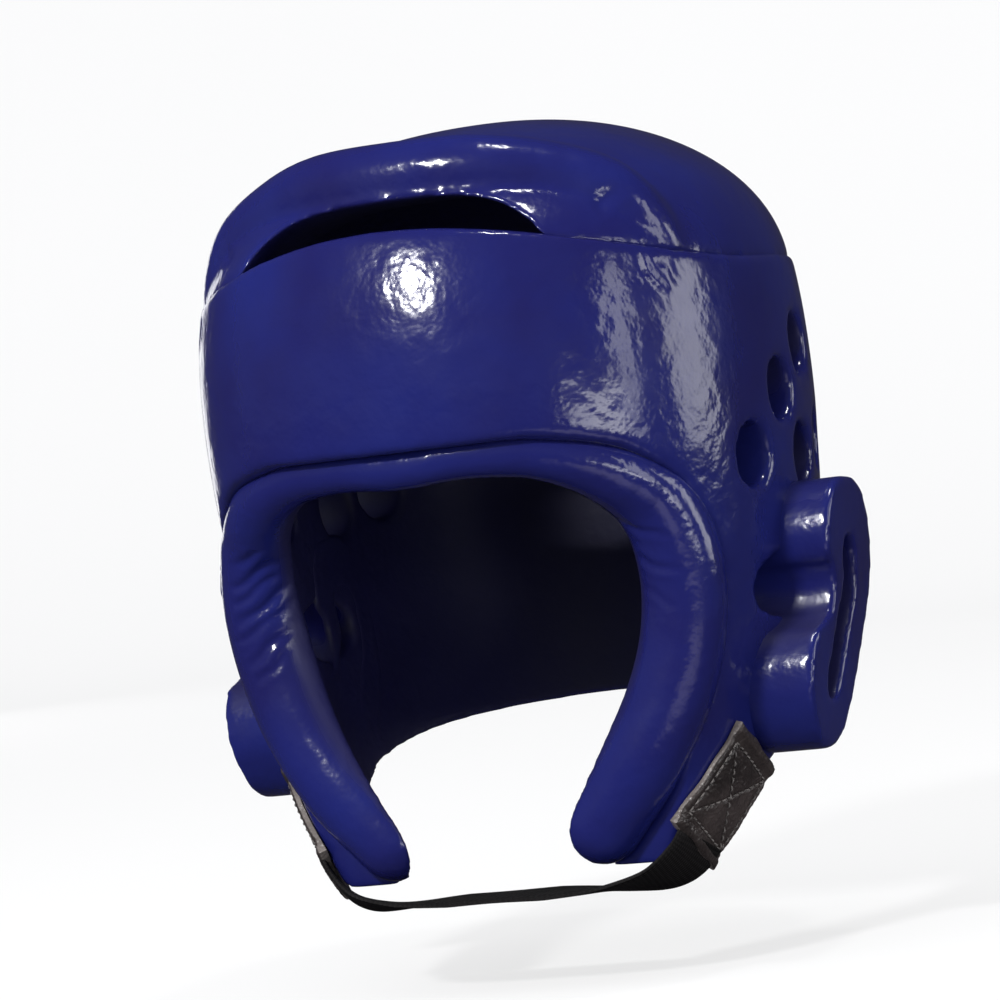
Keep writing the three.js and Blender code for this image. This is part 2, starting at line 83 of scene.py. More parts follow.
# Outer form of the band and sides: shares of the shell's drop, half width and reaches
SHELL_SECTIONS = named_rows("drop width front back roundness", [
    (0.0, 0.91, 0.85, 0.9, 2.1),
    (0.08, 0.955, 0.92, 0.945, 2.15),
    (0.16, 0.985, 0.97, 0.98, 2.2),
    (0.26, 1.0, 1.0, 1.0, 2.25),
    (0.39, 1.0, 0.995, 1.0, 2.25),
    (0.53, 0.98, 0.97, 0.975, 2.2),
    (0.66, 0.95, 0.93, 0.93, 2.1),
    (0.78, 0.905, 0.895, 0.88, 2.05),
    (0.88, 0.84, 0.86, 0.84, 2.0),
    (1.0, 0.71, 0.8, 0.78, 2.0),
    (1.12, 0.55, 0.7, 0.7, 2.0),
])

# Middle line of the face rim on the wearer's left, from the brow (0) to the cheek and its tip (1)
RIM_STATIONS = named_rows("width reach drop fullness", [
    (0.0, 0.0, 0.0, 0.0),
    (0.28, 0.04, -0.01, 0.0),
    (0.56, 0.2, 0.0, 0.15),
    (0.8, 0.5, 0.06, 0.5),
    (0.95, 0.85, 0.17, 0.85),
    (1.0, 1.0, 0.33, 1.0),
    (0.97, 1.03, 0.5, 1.0),
    (0.88, 1.0, 0.66, 1.0),
    (0.71, 0.95, 0.83, 1.0),
    (0.5, 0.96, 0.98, 0.96),
])

# Crown's front roll on the wearer's left, from its crest to its foot: shares of the crest's half
# width, of the front reach and of the drop to the crease
FRONT_ROLL_STATIONS = named_rows("width reach drop", [
    (0.0, 0.68, 0.0),
    (0.44, 0.655, 0.03),
    (0.765, 0.575, 0.2),
    (1.04, 0.5, 0.5),
    (1.16, 0.46, 0.9),
    (1.22, 0.43, 1.3),
])

# Outline of the ear guard's face and of its slot: shares of its depth, and of its height from the top
GUARD_OUTLINE = [
    (0.1, 0.0), (0.27, 0.02), (0.42, 0.11), (0.5, 0.27), (0.47, 0.45), (0.33, 0.64), (0.17, 0.83),
    (0.0, 0.96), (-0.2, 1.0), (-0.38, 0.95), (-0.5, 0.8), (-0.49, 0.66), (-0.4, 0.56),
    (-0.26, 0.525), (-0.16, 0.49), (-0.115, 0.41), (-0.135, 0.33), (-0.2, 0.28), (-0.215, 0.19),
    (-0.16, 0.08), (-0.05, 0.01),
]
GUARD_SLOT_LINE = [(0.13, 0.29), (0.13, 0.42), (0.02, 0.55), (-0.1, 0.7), (-0.15, 0.75)]

# Round vents: y as a share of the front reach, height as a share of crease to guard top
VENT_PLACES = [(-0.26, 0.85), (-0.04, 0.58), (0.18, 0.39), (0.13, 0.88), (0.37, 0.82)]

# Lower edge of the shell: y as a share of the front reach (negative) or the back reach, and its rise
# from the jaw (0) to under the ear (1) and on to the nape (2)
HEM_STATIONS = [(-1.3, 0), (-0.4, 0), (-0.22, 0.5), (-0.06, 1), (0.3, 1.5), (1.3, 2)]

# Chin strap from the middle (1) to the patch (0), and its turn from flat (1) to the patch's slope
STRAP_STATIONS = named_rows("across reach drop turn", [
    (0.0, 1.0, 1.0, 1.0),
    (0.3, 0.95, 1.01, 1.0),
    (0.6, 0.78, 1.0, 0.85),
    (0.8, 0.5, 0.84, 0.55),
    (0.93, 0.2, 0.45, 0.2),
    (1.0, 0.0, 0.0, 0.0),
])

# Floor and wall behind the object, in metres
FLOOR_BELOW = 0.03
STAGE_HALF = 30.0
SWEEP_START = 2.0
SWEEP_RADIUS = 1.6
WALL_HEIGHT = 14.0
BRIGHT_PATCH_PLACE = (0.33, -0.3, -0.283)

# Name, place, aim, width, height, power, share that lights matt surfaces
LIGHTS = [
    ("key", (-0.25, -1.75, 0.95), (0, 0, -0.1), 0.24, 0.17, 36, 1.0),
    ("side_sky", (2.0, 0.75, 0.1), (0, 0, -0.1), 0.7, 1.1, 10, 0.15),
    ("side_sky_front", (2.1, -0.35, 0.25), (0, 0, -0.1), 0.35, 1.2, 5, 0.15),
    ("back_left", (-1.5, 1.7, 0.1), (0, 0, -0.1), 0.5, 0.8, 2.2, 0.3),
    ("low_side", (1.1, -0.55, -0.19), (0, 0, -0.2), 0.55, 0.12, 1.6, 0.1),
    ("top_spot", (0.5, -0.2, 2.0), (0, 0, -0.1), 0.2, 0.2, 10, 0.5),
]

# Room that the gloss reflects, from its ground to its top, and where the daylight comes from
ROOM_STOPS = [(0.35, (0.03, 0.03, 0.035, 1)), (0.5, (0.16, 0.165, 0.2, 1)), (0.75, (0.04, 0.045, 0.06, 1))]
DAYLIGHT_FROM = (-0.62, -0.68, 0.38)

# Camera: degrees, metres, and how much of the object's plane the frame takes in
CAMERA_AZIMUTH = 22.0
CAMERA_ELEVATION = 1.0
CAMERA_ROLL = 7.0
CAMERA_DISTANCE = 1.6
CAMERA_AIM = (-0.0095, 0.0, -0.1135)
FRAME_WIDTH_AT_AIM = 0.357
SENSOR_WIDTH_MM = 36

# How finely the forms are divided
RIM_LINE_POINTS = 60
CHEEK_LINE_POINTS = 50
VENT_CURVE_POINTS = 24
HEM_LINE_POINTS = 60
GUARD_CURVE_POINTS = 7
GUARD_RINGS = 8
SLOT_LINE_POINTS = 16
SLOT_END_POINTS = 12
STRAP_EDGE_POINTS = 26
SWEEP_POINTS = 24
RING_POINTS = 168
BAND_RINGS = 70
CROWN_RINGS = 44
HOLLOW_RINGS = 36
HOLLOW_BELOW_RINGS = 50
ROLL_RINGS = 220
ROLL_SIDES = 40
BORE_POINTS = 48
PATCH_ROWS = 150
PATCH_COLUMNS = 112
STRAP_RINGS = 300
STITCH_RINGS = 7
STITCH_SIDES = 8

# Shape of the dome: how its rings bunch at the top, and how its peak shifts back
DOME_BUNCHING = 1.7
PEAK_FADE = 1.5

# How sharply the crease arches up at the front
CREASE_SHARPNESS = 2.8

# Front vent's curve: handles of its shoulders and of its flat top, as shares of its half width
VENT_SHOULDER = 0.75
VENT_FLAT = 0.45

# Where the ear guard starts and its slot's floor would be, as shares of the shell's half width
GUARD_ROOT = 0.78
GUARD_SLOT_FLOOR = 0.6

# Cutting forms reach this many times a size past what they cut
PAST_FRONT = 1.5
PAST_BOTTOM = 1.2
WELL_PAST = 2

# Rounded tip of a roll, as shares of its radius
ROLL_TIP_SHARES = [0.99, 0.95, 0.88, 0.76, 0.6, 0.4, 0.2]

# Slow swelling of hand-cut foam: how long and how high its waves are
SWELL_LENGTH = 45 * MM
SWELL_DEPTH = 0.35 * MM

# Leatherette: height of its crinkles, how deep the stitches sink in and how its cut border rounds off
CRINKLE_HEIGHT = 0.16 * MM
STITCH_SINK = 0.4 * MM
STITCH_SINK_HALF_WIDTH = 0.8 * MM
BORDER_FALL = 0.9 * MM
BORDER_WIDTH = 0.5 * MM
FOLD_SOFTNESS = 0.35 * MM

# How far the patch's hand-cut ends and sides wander off a straight line
END_WANDER = 0.35 * MM
SIDE_WANDER = 0.25 * MM

# Webbing: how its edges fall off, and how high it ripples along its length
STRAP_EDGE_FALL = 0.55
STRAP_EDGE_SHARPNESS = 12
STRAP_RIPPLE = 0.25 * MM

# A pad's face turned this far in starts to get painted shade (darker colour, duller gloss), and has all of
# it soon after
INNER_SHADE_START = 0.3
INNER_SHADE_SHARPNESS = 3

# Rounds of smoothing that leave each pad's lips as round as the dip does, and where its swelling starts
RELAX_ROUNDS = {"crown": 34, "band": 30, "rim": 20, "guards": 18}
SWELL_START = {"crown": 0.4, "band": 1.9, "rim": 3.3, "guard_left": 5.1, "guard_right": 2.6}


def length(name, description, default):
    return FloatProperty(name=name, description=description, default=default, unit="LENGTH")


class HeadgearSizes(bpy.types.PropertyGroup):
    """Driving sizes of the headgear"""

    shell_half_width: length("Shell half width", "Widest side of the band from the middle", 0.102)
    shell_front: length("Shell front reach", "Forehead from the origin", 0.122)
    shell_back: length("Shell back reach", "Back of the head from the origin", 0.124)
    shell_drop: length("Shell drop", "Height over which the shell sections run", 0.247)
    foam_wall: length("Foam wall", "Thickness of the side foam", 0.02)
    crown_wall: length("Crown wall", "Thickness of the crown at its top", 0.02)
    crown_rise: length("Crown rise", "Crown top down to its widest ring", 0.065)
    crown_inset: length("Crown inset", "How far the crown stands inside the band", 0.0015)
    crown_peak_back: length("Crown peak", "How far behind the origin the crown peaks", 0.012)
    dome_roundness: FloatProperty(name="Dome roundness", description="Fullness of the dome", default=2.1)
    crease_drop: length("Crease drop", "Crease below the seat at the sides", 0.04)
    crease_arch: length("Crease arch", "Rise of the crease at the front", 0.021)
    rim_sink: length("Rim sink", "How deep the face rim presses into the shell", 0.0018)
    crease_tuck: length("Crease tuck", "How far crown and band press past the crease", 0.001)
    slot_half_width: length("Slot half width", "Half width of the front roll's crest", 0.064)
    vent_half_width: length("Front vent half width", "Half width of the front vent", 0.058)
    slot_top_drop: length("Slot top", "Top of the front vent below the seat", 0.008)
    front_roll_radius: length("Front roll radius", "Radius of the roll over the vent", 0.013)
    brow_drop: length("Brow drop", "Rim at the brow below the seat", 0.097)
    brow_reach: length("Brow reach", "Rim at the brow from the origin", 0.109)
    brow_radius: length("Brow rim radius", "Radius of the rim at the brow", 0.008)
    brow_lip_drop: length("Brow lip drop", "Lower lip of the band over the brow", 0.092)
    cheek_half_width: length("Cheek half width", "Rim at the cheeks from the middle", 0.0775)
    cheek_reach: length("Cheek reach", "Rim at the cheeks from the origin", 0.06)
    cheek_radius: length("Cheek rim radius", "Radius of the rim at the cheeks", 0.015)
    cheek_tip_drop: length("Cheek tip drop", "Tips of the cheeks below the seat", 0.228)
    guard_top_drop: length("Guard top drop", "Top of the ear guards below the seat", 0.119)
    guard_height: length("Guard height", "Height of the ear guards", 0.092)
    guard_depth: length("Guard depth", "Ear guards from front to back", 0.07)
    guard_middle: length("Guard middle", "Middle of the ear guards along Y", -0.001)
    guard_face_top: length("Guard face top", "Guard face at its top from the middle", 0.118)
    guard_face_bottom: length("Guard face bottom", "Guard face at its bottom", 0.108)
    guard_slot_width: length("Guard slot width", "Width of the slot in the guard", 0.013)
    ear_hole_width: length("Ear hole width", "Ear opening along Y", 0.046)
    ear_hole_height: length("Ear hole height", "Ear opening height", 0.021)
    ear_hole_y: length("Ear hole place", "Middle of the ear opening along Y", -0.011)
    ear_hole_drop: length("Ear hole drop", "Middle of the ear opening below the seat", 0.153)
    vent_diameter: length("Vent diameter", "Round side vents", 0.0225)
    jaw_drop: length("Jaw drop", "Lower edge of the jaw", 0.239)
    under_ear_drop: length("Under ear drop", "Lower edge under the ear guards", 0.209)
    nape_drop: length("Nape drop", "Lower edge at the nape", 0.186)
    patch_length: length("Patch length", "Long side of the strap patch", 0.042)
    patch_width: length("Patch width", "Short side of the strap patch", 0.031)
    patch_thickness: length("Patch thickness", "Leatherette thickness", 0.0024)
    strap_width: length("Strap width", "Webbing width", 0.025)
    strap_thickness: length("Strap thickness", "Webbing thickness", 0.002)
    strap_stand_off: length("Strap stand-off", "Strap end from the patch's middle plane", 0.0064)
    strap_tuck: length("Strap tuck", "Strap end hidden under the patch's folded bar", 0.0035)
    strap_drop: length("Strap drop", "Middle of the strap below the seat", 0.248)
    strap_reach: length("Strap reach", "Middle of the strap from the origin", 0.063)
    patch_gap: length("Patch gap", "Gap between patch and shell", 0.0003)
    patch_fold: length("Patch fold", "Width of the folded bar at each short end", 0.0035)
    patch_fold_rise: length("Fold rise", "How far the folded bar stands up", 0.0011)
    stitch_inset: length("Stitch inset", "Stitches from the patch's edge", 0.0028)
    stitch_pitch: length("Stitch pitch", "From stitch to stitch", 0.0029)
    thread_radius: length("Thread radius", "Half the thread's thickness", 0.00038)
    voxel: length("Remesh voxel", "Grain of the foam meshes", 0.0012)


def colour(name, description, default):
    return FloatVectorProperty(name=name, description=description, default=default, subtype="COLOR", size=3)


class HeadgearColours(bpy.types.PropertyGroup):
    """Colours of the headgear"""

    dip: colour("Dip", "Blue vinyl skin", (0.0085, 0.0125, 0.105))
    # The dip shade is both the darker tone of thin vinyl and the painted shade of the inner faces
    dip_dark_and_painted_shade: colour("Dip shade", "Blue vinyl skin where it is thin", (0.008, 0.0078, 0.064))
    leatherette: colour("Leatherette", "Strap patches", (0.015, 0.0115, 0.011))
    # Pale colour painted on the patch's cut border as a highlight, where its edge would catch the light
    painted_edge_highlight: colour("Cut edge", "Bare edge of the leatherette", (0.16, 0.14, 0.13))
    webbing: colour("Webbing", "Chin strap", (0.0028, 0.0023, 0.0026))
    thread: colour("Thread", "Stitching", (0.03, 0.027, 0.026))
    floor: colour("Floor", "Pale floor", (0.86, 0.86, 0.86))


# Middle of the head's hollow; faces turned towards it get painted shade
HEAD_MIDDLE = (0, 0, -0.11)

# Place of the strap patch on the wearer's left: its middle, its long side and the way it faces
PATCH_MIDDLE = Vector((0.072, -0.041, -0.22))
PATCH_ALONG = Vector((-0.45, -0.53, -0.72)).normalized()
PATCH_FACING = Vector((0.884, -0.333, -0.307)).normalized()
PATCH_ACROSS = PATCH_FACING.cross(PATCH_ALONG)


def sizes():
    return bpy.context.scene.headgear_sizes


def colours():
    return bpy.context.scene.headgear_colours


# Forms


def column(table, by, key, place):
    """Value of one column of a table between its rows, on a smooth curve."""
    last = len(table) - 1
    row = 0
    while row < last - 1 and place > table[row + 1][by]:
        row += 1

    def slope(i):
        before, after = table[max(i - 1, 0)], table[min(i + 1, last)]
        return (after[key] - before[key]) / (after[by] - before[by])

    span = table[row + 1][by] - table[row][by]
    t = (place - table[row][by]) / span
    start, end = table[row][key], table[row + 1][key]
    rise = t * t * (3 - 2 * t)
    return start + (end - start) * rise + span * t * (1 - t) * ((1 - t) * slope(row) - t * slope(row + 1))


def oval(ring):
    """Points round one oval section of the shell."""
    angle = np.linspace(0, 2 * math.pi, RING_POINTS, endpoint=False)
    power = 2 / ring["roundness"]
    across = np.sign(np.sin(angle)) * np.abs(np.sin(angle)) ** power
    along = np.sign(np.cos(angle)) * np.abs(np.cos(angle)) ** power
    middle = ring.get("middle", 0.0)
    reach = np.where(along > 0, ring["front"] + middle, ring["back"] - middle)
    height = np.full(RING_POINTS, ring["z"])
    return np.stack([ring["width"] * across, middle - reach * along, height], axis=1)


def shell_ring(z, inset):
    s = sizes()
    drop = -z / s.shell_drop
    return {
        "z": z,
        "width": s.shell_half_width * column(SHELL_SECTIONS, "drop", "width", drop) - inset,
        "front": s.shell_front * column(SHELL_SECTIONS, "drop", "front", drop) - inset,
        "back": s.shell_back * column(SHELL_SECTIONS, "drop", "back", drop) - inset,
        "roundness": column(SHELL_SECTIONS, "drop", "roundness", drop),
    }


def dome_rings(top, widest, count):
    """Sections of a dome from just under its peak down to its widest ring."""
    s = sizes()
    rings = []
    for i in range(1, count):
        share = (i / count) ** DOME_BUNCHING
        spread = (1 - (1 - share) ** s.dome_roundness) ** (1 / s.dome_roundness)
        middle = s.crown_peak_back * (1 - share) ** PEAK_FADE
        rings.append({
            "z": top - share * (top - widest["z"]),
            "width": widest["width"] * spread,
            "front": (widest["front"] + middle) * spread - middle,
            "back": (widest["back"] - middle) * spread + middle,
            "middle": middle,
            "roundness": widest["roundness"],
        })
    return rings


def mesh_piece(name, points, faces):
    mesh = bpy.data.meshes.new(name)
    mesh.from_pydata([tuple(p) for p in points], [], faces)
    mesh.update()
    piece = bpy.data.objects.new(name, mesh)
    bpy.context.scene.collection.objects.link(piece)
    return piece


def pick(piece):
    """Makes a piece the only selected one, and the active one."""
    bpy.ops.object.select_all(action="DESELECT")
    piece.select_set(True)
    bpy.context.view_layer.objects.active = piece


def face_out(piece):
    pick(piece)
    bpy.ops.object.mode_set(mode="EDIT")
    bpy.ops.mesh.select_all(action="SELECT")
    bpy.ops.mesh.remove_doubles(threshold=1e-6)
    bpy.ops.mesh.normals_make_consistent(inside=False)
    bpy.ops.object.mode_set(mode="OBJECT")
    return piece


def loft(name, rings):
    """Closed mesh through rings with the same number of points, one face over each end."""
    count = len(rings[0])
    points = np.concatenate([np.asarray(ring) for ring in rings])
    faces = []
    for r in range(len(rings) - 1):
        for i in range(count):
            a, b = r * count + i, r * count + (i + 1) % count
            faces.append((a, b, b + count, a + count))
    faces.append(tuple(range(count))[::-1])
    faces.append(tuple(range((len(rings) - 1) * count, len(rings) * count)))
    return face_out(mesh_piece(name, points, faces))


def modify(piece, kind, **values):
    """Adds a modifier with these values and applies it."""
    pick(piece)
    modifier = piece.modifiers.new(kind.lower(), kind)
    for key, value in values.items():
        setattr(modifier, key, value)
    bpy.ops.object.modifier_apply(modifier=modifier.name)
    return piece


def combine(piece, others, operation):
    """Cuts, joins or keeps what other closed pieces cover, and removes those."""
    for other in others:
        modify(piece, "BOOLEAN", object=other, operation=operation, solver="MANIFOLD")
        bpy.data.objects.remove(other)
    return piece


def curve(t, a, b, slope_a, slope_b):
    """Smooth curve from one place to another that leaves and arrives along given slopes."""
    leaving = (2 * t**3 - 3 * t**2 + 1) * a + (t**3 - 2 * t**2 + t) * slope_a
    return leaving + (3 * t**2 - 2 * t**3) * b + (t**3 - t**2) * slope_b


def smooth_line(points, count):
    """Places and directions along a smooth curve through points."""
    points = np.asarray(points, float)
    gaps = np.sqrt(np.linalg.norm(np.diff(points, axis=0), axis=1))
    knots = np.concatenate([[0], np.cumsum(gaps)])
    slopes = np.gradient(points, knots, axis=0)
    at = np.linspace(0, knots[-1], count)
    row = np.clip(np.searchsorted(knots, at, side="right") - 1, 0, len(knots) - 2)
    span = (knots[row + 1] - knots[row])[:, None]
    t = (at - knots[row])[:, None] / span
    a, b, da, db = points[row], points[row + 1], slopes[row] * span, slopes[row + 1] * span
    ahead = (6 * t**2 - 6 * t) * a + (3 * t**2 - 4 * t + 1) * da
    ahead += (6 * t - 6 * t**2) * b + (3 * t**2 - 2 * t) * db
    ahead /= np.linalg.norm(ahead, axis=1)[:, None]
    return curve(t, a, b, da, db), ahead


def both_sides(points):
    points = np.asarray(points, float)
    return np.concatenate([(points * (-1, 1, 1))[:0:-1], points])


def both_sides_of(values):
    return list(values[:0:-1]) + list(values)


def padded_roll(name, points, radii, facing, round_ends):
    """Round rolled pad along a line, with a radius at each point."""
    place, ahead = smooth_line(points, ROLL_RINGS)
    rings = []

    def add(i, size, shift):
        up = np.array(facing(place[i]), float)
        up -= ahead[i] * np.dot(up, ahead[i])
        up /= np.linalg.norm(up)
        side = np.cross(ahead[i], up)
        angle = np.linspace(0, 2 * math.pi, ROLL_SIDES, endpoint=False)[:, None]
        rings.append(place[i] + ahead[i] * shift + size * (np.cos(angle) * up + np.sin(angle) * side))

    size_at = np.interp(np.linspace(0, 1, ROLL_RINGS), np.linspace(0, 1, len(radii)), radii)
    tips = ROLL_TIP_SHARES if round_ends else []
    for lift in tips:
        add(0, size_at[0] * math.sqrt(1 - lift**2), -size_at[0] * lift)
    for i in range(ROLL_RINGS):
        add(i, size_at[i], 0)
    for lift in tips[::-1]:
        add(ROLL_RINGS - 1, size_at[-1] * math.sqrt(1 - lift**2), size_at[-1] * lift)
    return loft(name, rings)


def heights(start, end, count):
    return np.linspace(start, end, count + 1)


def lowest():
    """A height below all of the shell."""
    return -1.1 * sizes().shell_drop


def band_form(name, grow=0.0):
    """Whole body of the shell below the crown, before anything is cut from it."""
    s = sizes()
    rings = [oval(shell_ring(z, -grow)) for z in heights(-0.02 * s.shell_drop, lowest(), BAND_RINGS)]
    return loft(name, rings)


def dome_peak(first, top):
    """Tiny ring that closes a dome just under its top."""
    s = sizes()
    size = 0.5 * MM
    return dict(first, z=top - 0.05 * MM, width=size, front=size - s.crown_peak_back,
                back=s.crown_peak_back + size)


def crown_form():
    """Outside of the dome, closed below its widest ring."""
    s = sizes()
    widest = shell_ring(s.crown_wall - s.crown_rise, s.crown_inset)
    rings = dome_rings(s.crown_wall, widest, CROWN_RINGS)
    below = dict(widest, z=widest["z"] - s.crown_rise / 2)
    return loft("crown_form", [oval(r) for r in [dome_peak(rings[0], s.crown_wall), *rings, widest, below]])


def head_form():
    """Hollow that the head takes up."""
    s = sizes()
    meets = s.crown_wall - s.crown_rise
    widest = shell_ring(meets, s.foam_wall)
    below = [shell_ring(z, s.foam_wall) for z in heights(meets, lowest() - MM, HOLLOW_BELOW_RINGS)[1:]]
    rings = dome_rings(0.0, widest, HOLLOW_RINGS)
    return loft("head_form", [oval(r) for r in [dome_peak(rings[0], 0.0), *rings, widest, *below]])


def above_crease(shift):
    """All that lies above the crease between crown and band."""
    s = sizes()
    angle = np.linspace(0, 2 * math.pi, RING_POINTS, endpoint=False)
    crease = -s.crease_drop + s.crease_arch * np.maximum(np.cos(angle), 0) ** CREASE_SHARPNESS + shift
    top = np.full(RING_POINTS, WELL_PAST * s.shell_back)

    def ring(radius, z):
        return np.stack([radius * np.sin(angle), -radius * np.cos(angle), z], axis=1)

    within, beyond = s.shell_half_width / 2, WELL_PAST * s.shell_back
    corners = [(within, crease), (beyond, crease), (beyond, top), (within, top)]
    return loft("above_crease", [ring(radius, z) for radius, z in corners])


def rim_places():
    """Middle line of the face rim on the wearer's left."""
    s = sizes()
    return [(
        s.cheek_half_width * r["width"],
        -s.brow_reach + (s.brow_reach - s.cheek_reach) * r["reach"],
        -s.brow_drop - (s.cheek_tip_drop - s.brow_drop) * r["drop"],
    ) for r in RIM_STATIONS]


def rim_form(grow=0.0):
    """Face rim from one cheek over the brow to the other."""
    s = sizes()
    radii = [s.brow_radius + (s.cheek_radius - s.brow_radius) * r["fullness"] + grow for r in RIM_STATIONS]
    line = both_sides(rim_places())
    return padded_roll("rim_form", line, both_sides_of(radii), lambda place: (0, -1, 0), True)


def prism(name, outline, axis, start, end):
    """Closed prism over an outline, along x or along y."""
    outline = np.asarray(outline, float)
    rings = []
    for depth in (start, end):
        level = np.full(len(outline), depth)
        if axis == "x":
            rings.append(np.stack([level, outline[:, 0], outline[:, 1]], axis=1))
        else:
            rings.append(np.stack([outline[:, 0], level, outline[:, 1]], axis=1))
    return loft(name, rings)


def face_opening():
    """What the face looks out of, inside the rim's middle line."""
    s = sizes()
    lift = (s.brow_drop - s.brow_lip_drop) / 2
    left = smooth_line([(x, y, z + lift) for x, y, z in rim_places()], RIM_LINE_POINTS)[0]
    line = both_sides(left)
    tip = left[-1][0]
    bottom = -PAST_BOTTOM * s.shell_drop
    outline = [(-tip, bottom), *line[:, [0, 2]], (tip, bottom)]
    return prism("face_opening", outline, "y", 0.0, -PAST_FRONT * s.shell_front)


def ahead_of_rim():
    """Space in front of the rim, where the shell has no foam."""
    s = sizes()
    ahead = -WELL_PAST * s.shell_front
    aside = WELL_PAST * s.shell_half_width
    bottom = -PAST_BOTTOM * s.shell_drop
    lift = (s.brow_drop - s.brow_lip_drop) / 2
    stations = [(0, -s.brow_reach, -s.brow_lip_drop - lift), *rim_places()[3:]]
    places = smooth_line(stations, CHEEK_LINE_POINTS)[0]
    outline = [(ahead, -s.brow_lip_drop)]
    outline += [(y, z + lift) for _, y, z in places]
    outline += [(-s.cheek_reach, bottom), (ahead, bottom)]
    return prism("ahead_of_rim", outline, "x", -aside, aside)


def front_roll_form():
    """Raised roll of the crown over the front vent."""
    s = sizes()
    foot = s.crease_drop - s.crease_arch / 2
    left = [(s.slot_half_width * r["width"], -s.shell_front * r["reach"], -foot * r["drop"])
            for r in FRONT_ROLL_STATIONS]
    centre = np.array((0, 0, -s.crease_drop))
    line = both_sides(left)
    radii = [s.front_roll_radius] * len(line)
    return padded_roll("front_roll_form", line, radii, lambda place: place - centre, False)


def bezier(a, b, c, d, count):
    t = np.linspace(0, 1, count)[:, None]
    a, b, c, d = (np.array(p, float) for p in (a, b, c, d))
    return (1 - t) ** 3 * a + 3 * (1 - t) ** 2 * t * b + 3 * (1 - t) * t**2 * c + t**3 * d


def slot_form():
    """Crescent of the front vent, seen from the front."""
    s = sizes()
    half, top, tip = s.vent_half_width, -s.slot_top_drop, -(s.crease_drop - s.crease_arch / 2)
    shoulder, flat = VENT_SHOULDER * half, VENT_FLAT * half
    left = bezier((-half, tip), (-shoulder, top), (-flat, top), (0, top), VENT_CURVE_POINTS)
    right = bezier((0, top), (flat, top), (shoulder, top), (half, tip), VENT_CURVE_POINTS)[1:]
    outline = [*left, *right, (half, WELL_PAST * tip), (-half, WELL_PAST * tip)]
    return prism("slot_form", outline, "y", 0.0, -PAST_FRONT * s.shell_front)


def hem_place(reach, rise):
    """One place on the shell's lower edge, from its shares."""
    s = sizes()
    y = reach * (s.shell_front if reach < 0 else s.shell_back)
    drop = np.interp(rise, (0, 1, 2), (s.jaw_drop, s.under_ear_drop, s.nape_drop))
    return y, 0, -drop


def below_hem():
    """All that lies below the shell's lower edge."""
    s = sizes()
    line = smooth_line([hem_place(*station) for station in HEM_STATIONS], HEM_LINE_POINTS)[0][:, [0, 2]]
    bottom = -WELL_PAST * s.shell_drop
    aside = WELL_PAST * s.shell_half_width
    outline = [(line[0][0], bottom), *line, (line[-1][0], bottom)]
    return prism("below_hem", outline, "x", -aside, aside)


def side_bore(y, z, width, height, side):
    """Round or oval bore through one side, from inside the hollow to outside the guard."""
    angle = np.linspace(0, 2 * math.pi, BORE_POINTS, endpoint=False)
    outline = np.stack([y + width / 2 * np.cos(angle), z + height / 2 * np.sin(angle)], axis=1)
    half = side * sizes().shell_half_width
    return prism("side_bore", outline, "x", half / 4, 1.75 * half)


def side_bores(side):
    """Five vents and the ear opening of one side."""
    s = sizes()
    span = s.guard_top_drop - s.crease_drop
    vent = s.vent_diameter
    bores = [side_bore(s.shell_front * y, -s.crease_drop - span * down, vent, vent, side)
             for y, down in VENT_PLACES]
    bores.append(side_bore(s.ear_hole_y, -s.ear_hole_drop, s.ear_hole_width, s.ear_hole_height, side))
    return bores


def guard_points(shares):
    """Places on the guard's face, as y and z."""
    s = sizes()
    return [(s.guard_middle + s.guard_depth * along, -s.guard_top_drop - s.guard_height * down)
            for along, down in shares]


def closed_line(points, each):
    """Smooth closed outline in two coordinates, with this many points between stations."""
    stations = np.asarray(points, float)
    before, after = np.roll(stations, 1, axis=0), np.roll(stations, -1, axis=0)
    slope = (after - before) / 2
    following = np.roll(slope, -1, axis=0)
    steps = np.linspace(0, 1, each, endpoint=False)
    outline = [curve(t, stations, after, slope, following) for t in steps]
    return np.stack(outline, axis=1).reshape(-1, 2)


def guard_form():
    """Ear guard of the wearer's left, with its face leaning in towards the bottom."""
    s = sizes()
    outline = closed_line(guard_points(GUARD_OUTLINE), GUARD_CURVE_POINTS)
    down = (-s.guard_top_drop - outline[:, 1]) / s.guard_height
    lean = (s.guard_face_top - s.guard_face_bottom) * down
    root = GUARD_ROOT * s.shell_half_width
    rings = [np.stack([x - lean, outline[:, 0], outline[:, 1]], axis=1)
             for x in np.linspace(root, s.guard_face_top, GUARD_RINGS)]
    return loft("guard_form", rings)


def guard_slot():
    """Curved slot with round ends in the guard's face."""
    s = sizes()
    line, ahead = smooth_line([(y, 0, z) for y, z in guard_points(GUARD_SLOT_LINE)], SLOT_LINE_POINTS)
    radius = s.guard_slot_width / 2
    side = np.stack([-ahead[:, 2], ahead[:, 0]], axis=1) * radius
    flat, along = line[:, [0, 2]], ahead[:, [0, 2]]
    turn = np.linspace(0, math.pi, SLOT_END_POINTS)[1:-1, None]
    far = flat[-1] + np.cos(turn) * side[-1] + np.sin(turn) * along[-1] * radius
    near = flat[0] - np.cos(turn) * side[0] - np.sin(turn) * along[0] * radius
    outline = [*(flat + side), *far, *(flat - side)[::-1], *near]
    half = s.shell_half_width
    return prism("guard_slot", outline, "x", GUARD_SLOT_FLOOR * half, WELL_PAST * half)


def relax(piece, voxel, rounds):
    """Gives the mesh an even grain, and lips as round as the dip leaves them."""
    modify(piece, "REMESH", mode="VOXEL", voxel_size=voxel)
    modify(piece, "SMOOTH", factor=0.5, iterations=rounds)
    return piece


def coordinates(piece):
    mesh = piece.data
    points = np.empty(len(mesh.vertices) * 3)
    mesh.vertices.foreach_get("co", points)
    normals = np.empty(len(mesh.vertices) * 3)
    mesh.vertex_normals.foreach_get("vector", normals)
    return points.reshape(-1, 3), normals.reshape(-1, 3)


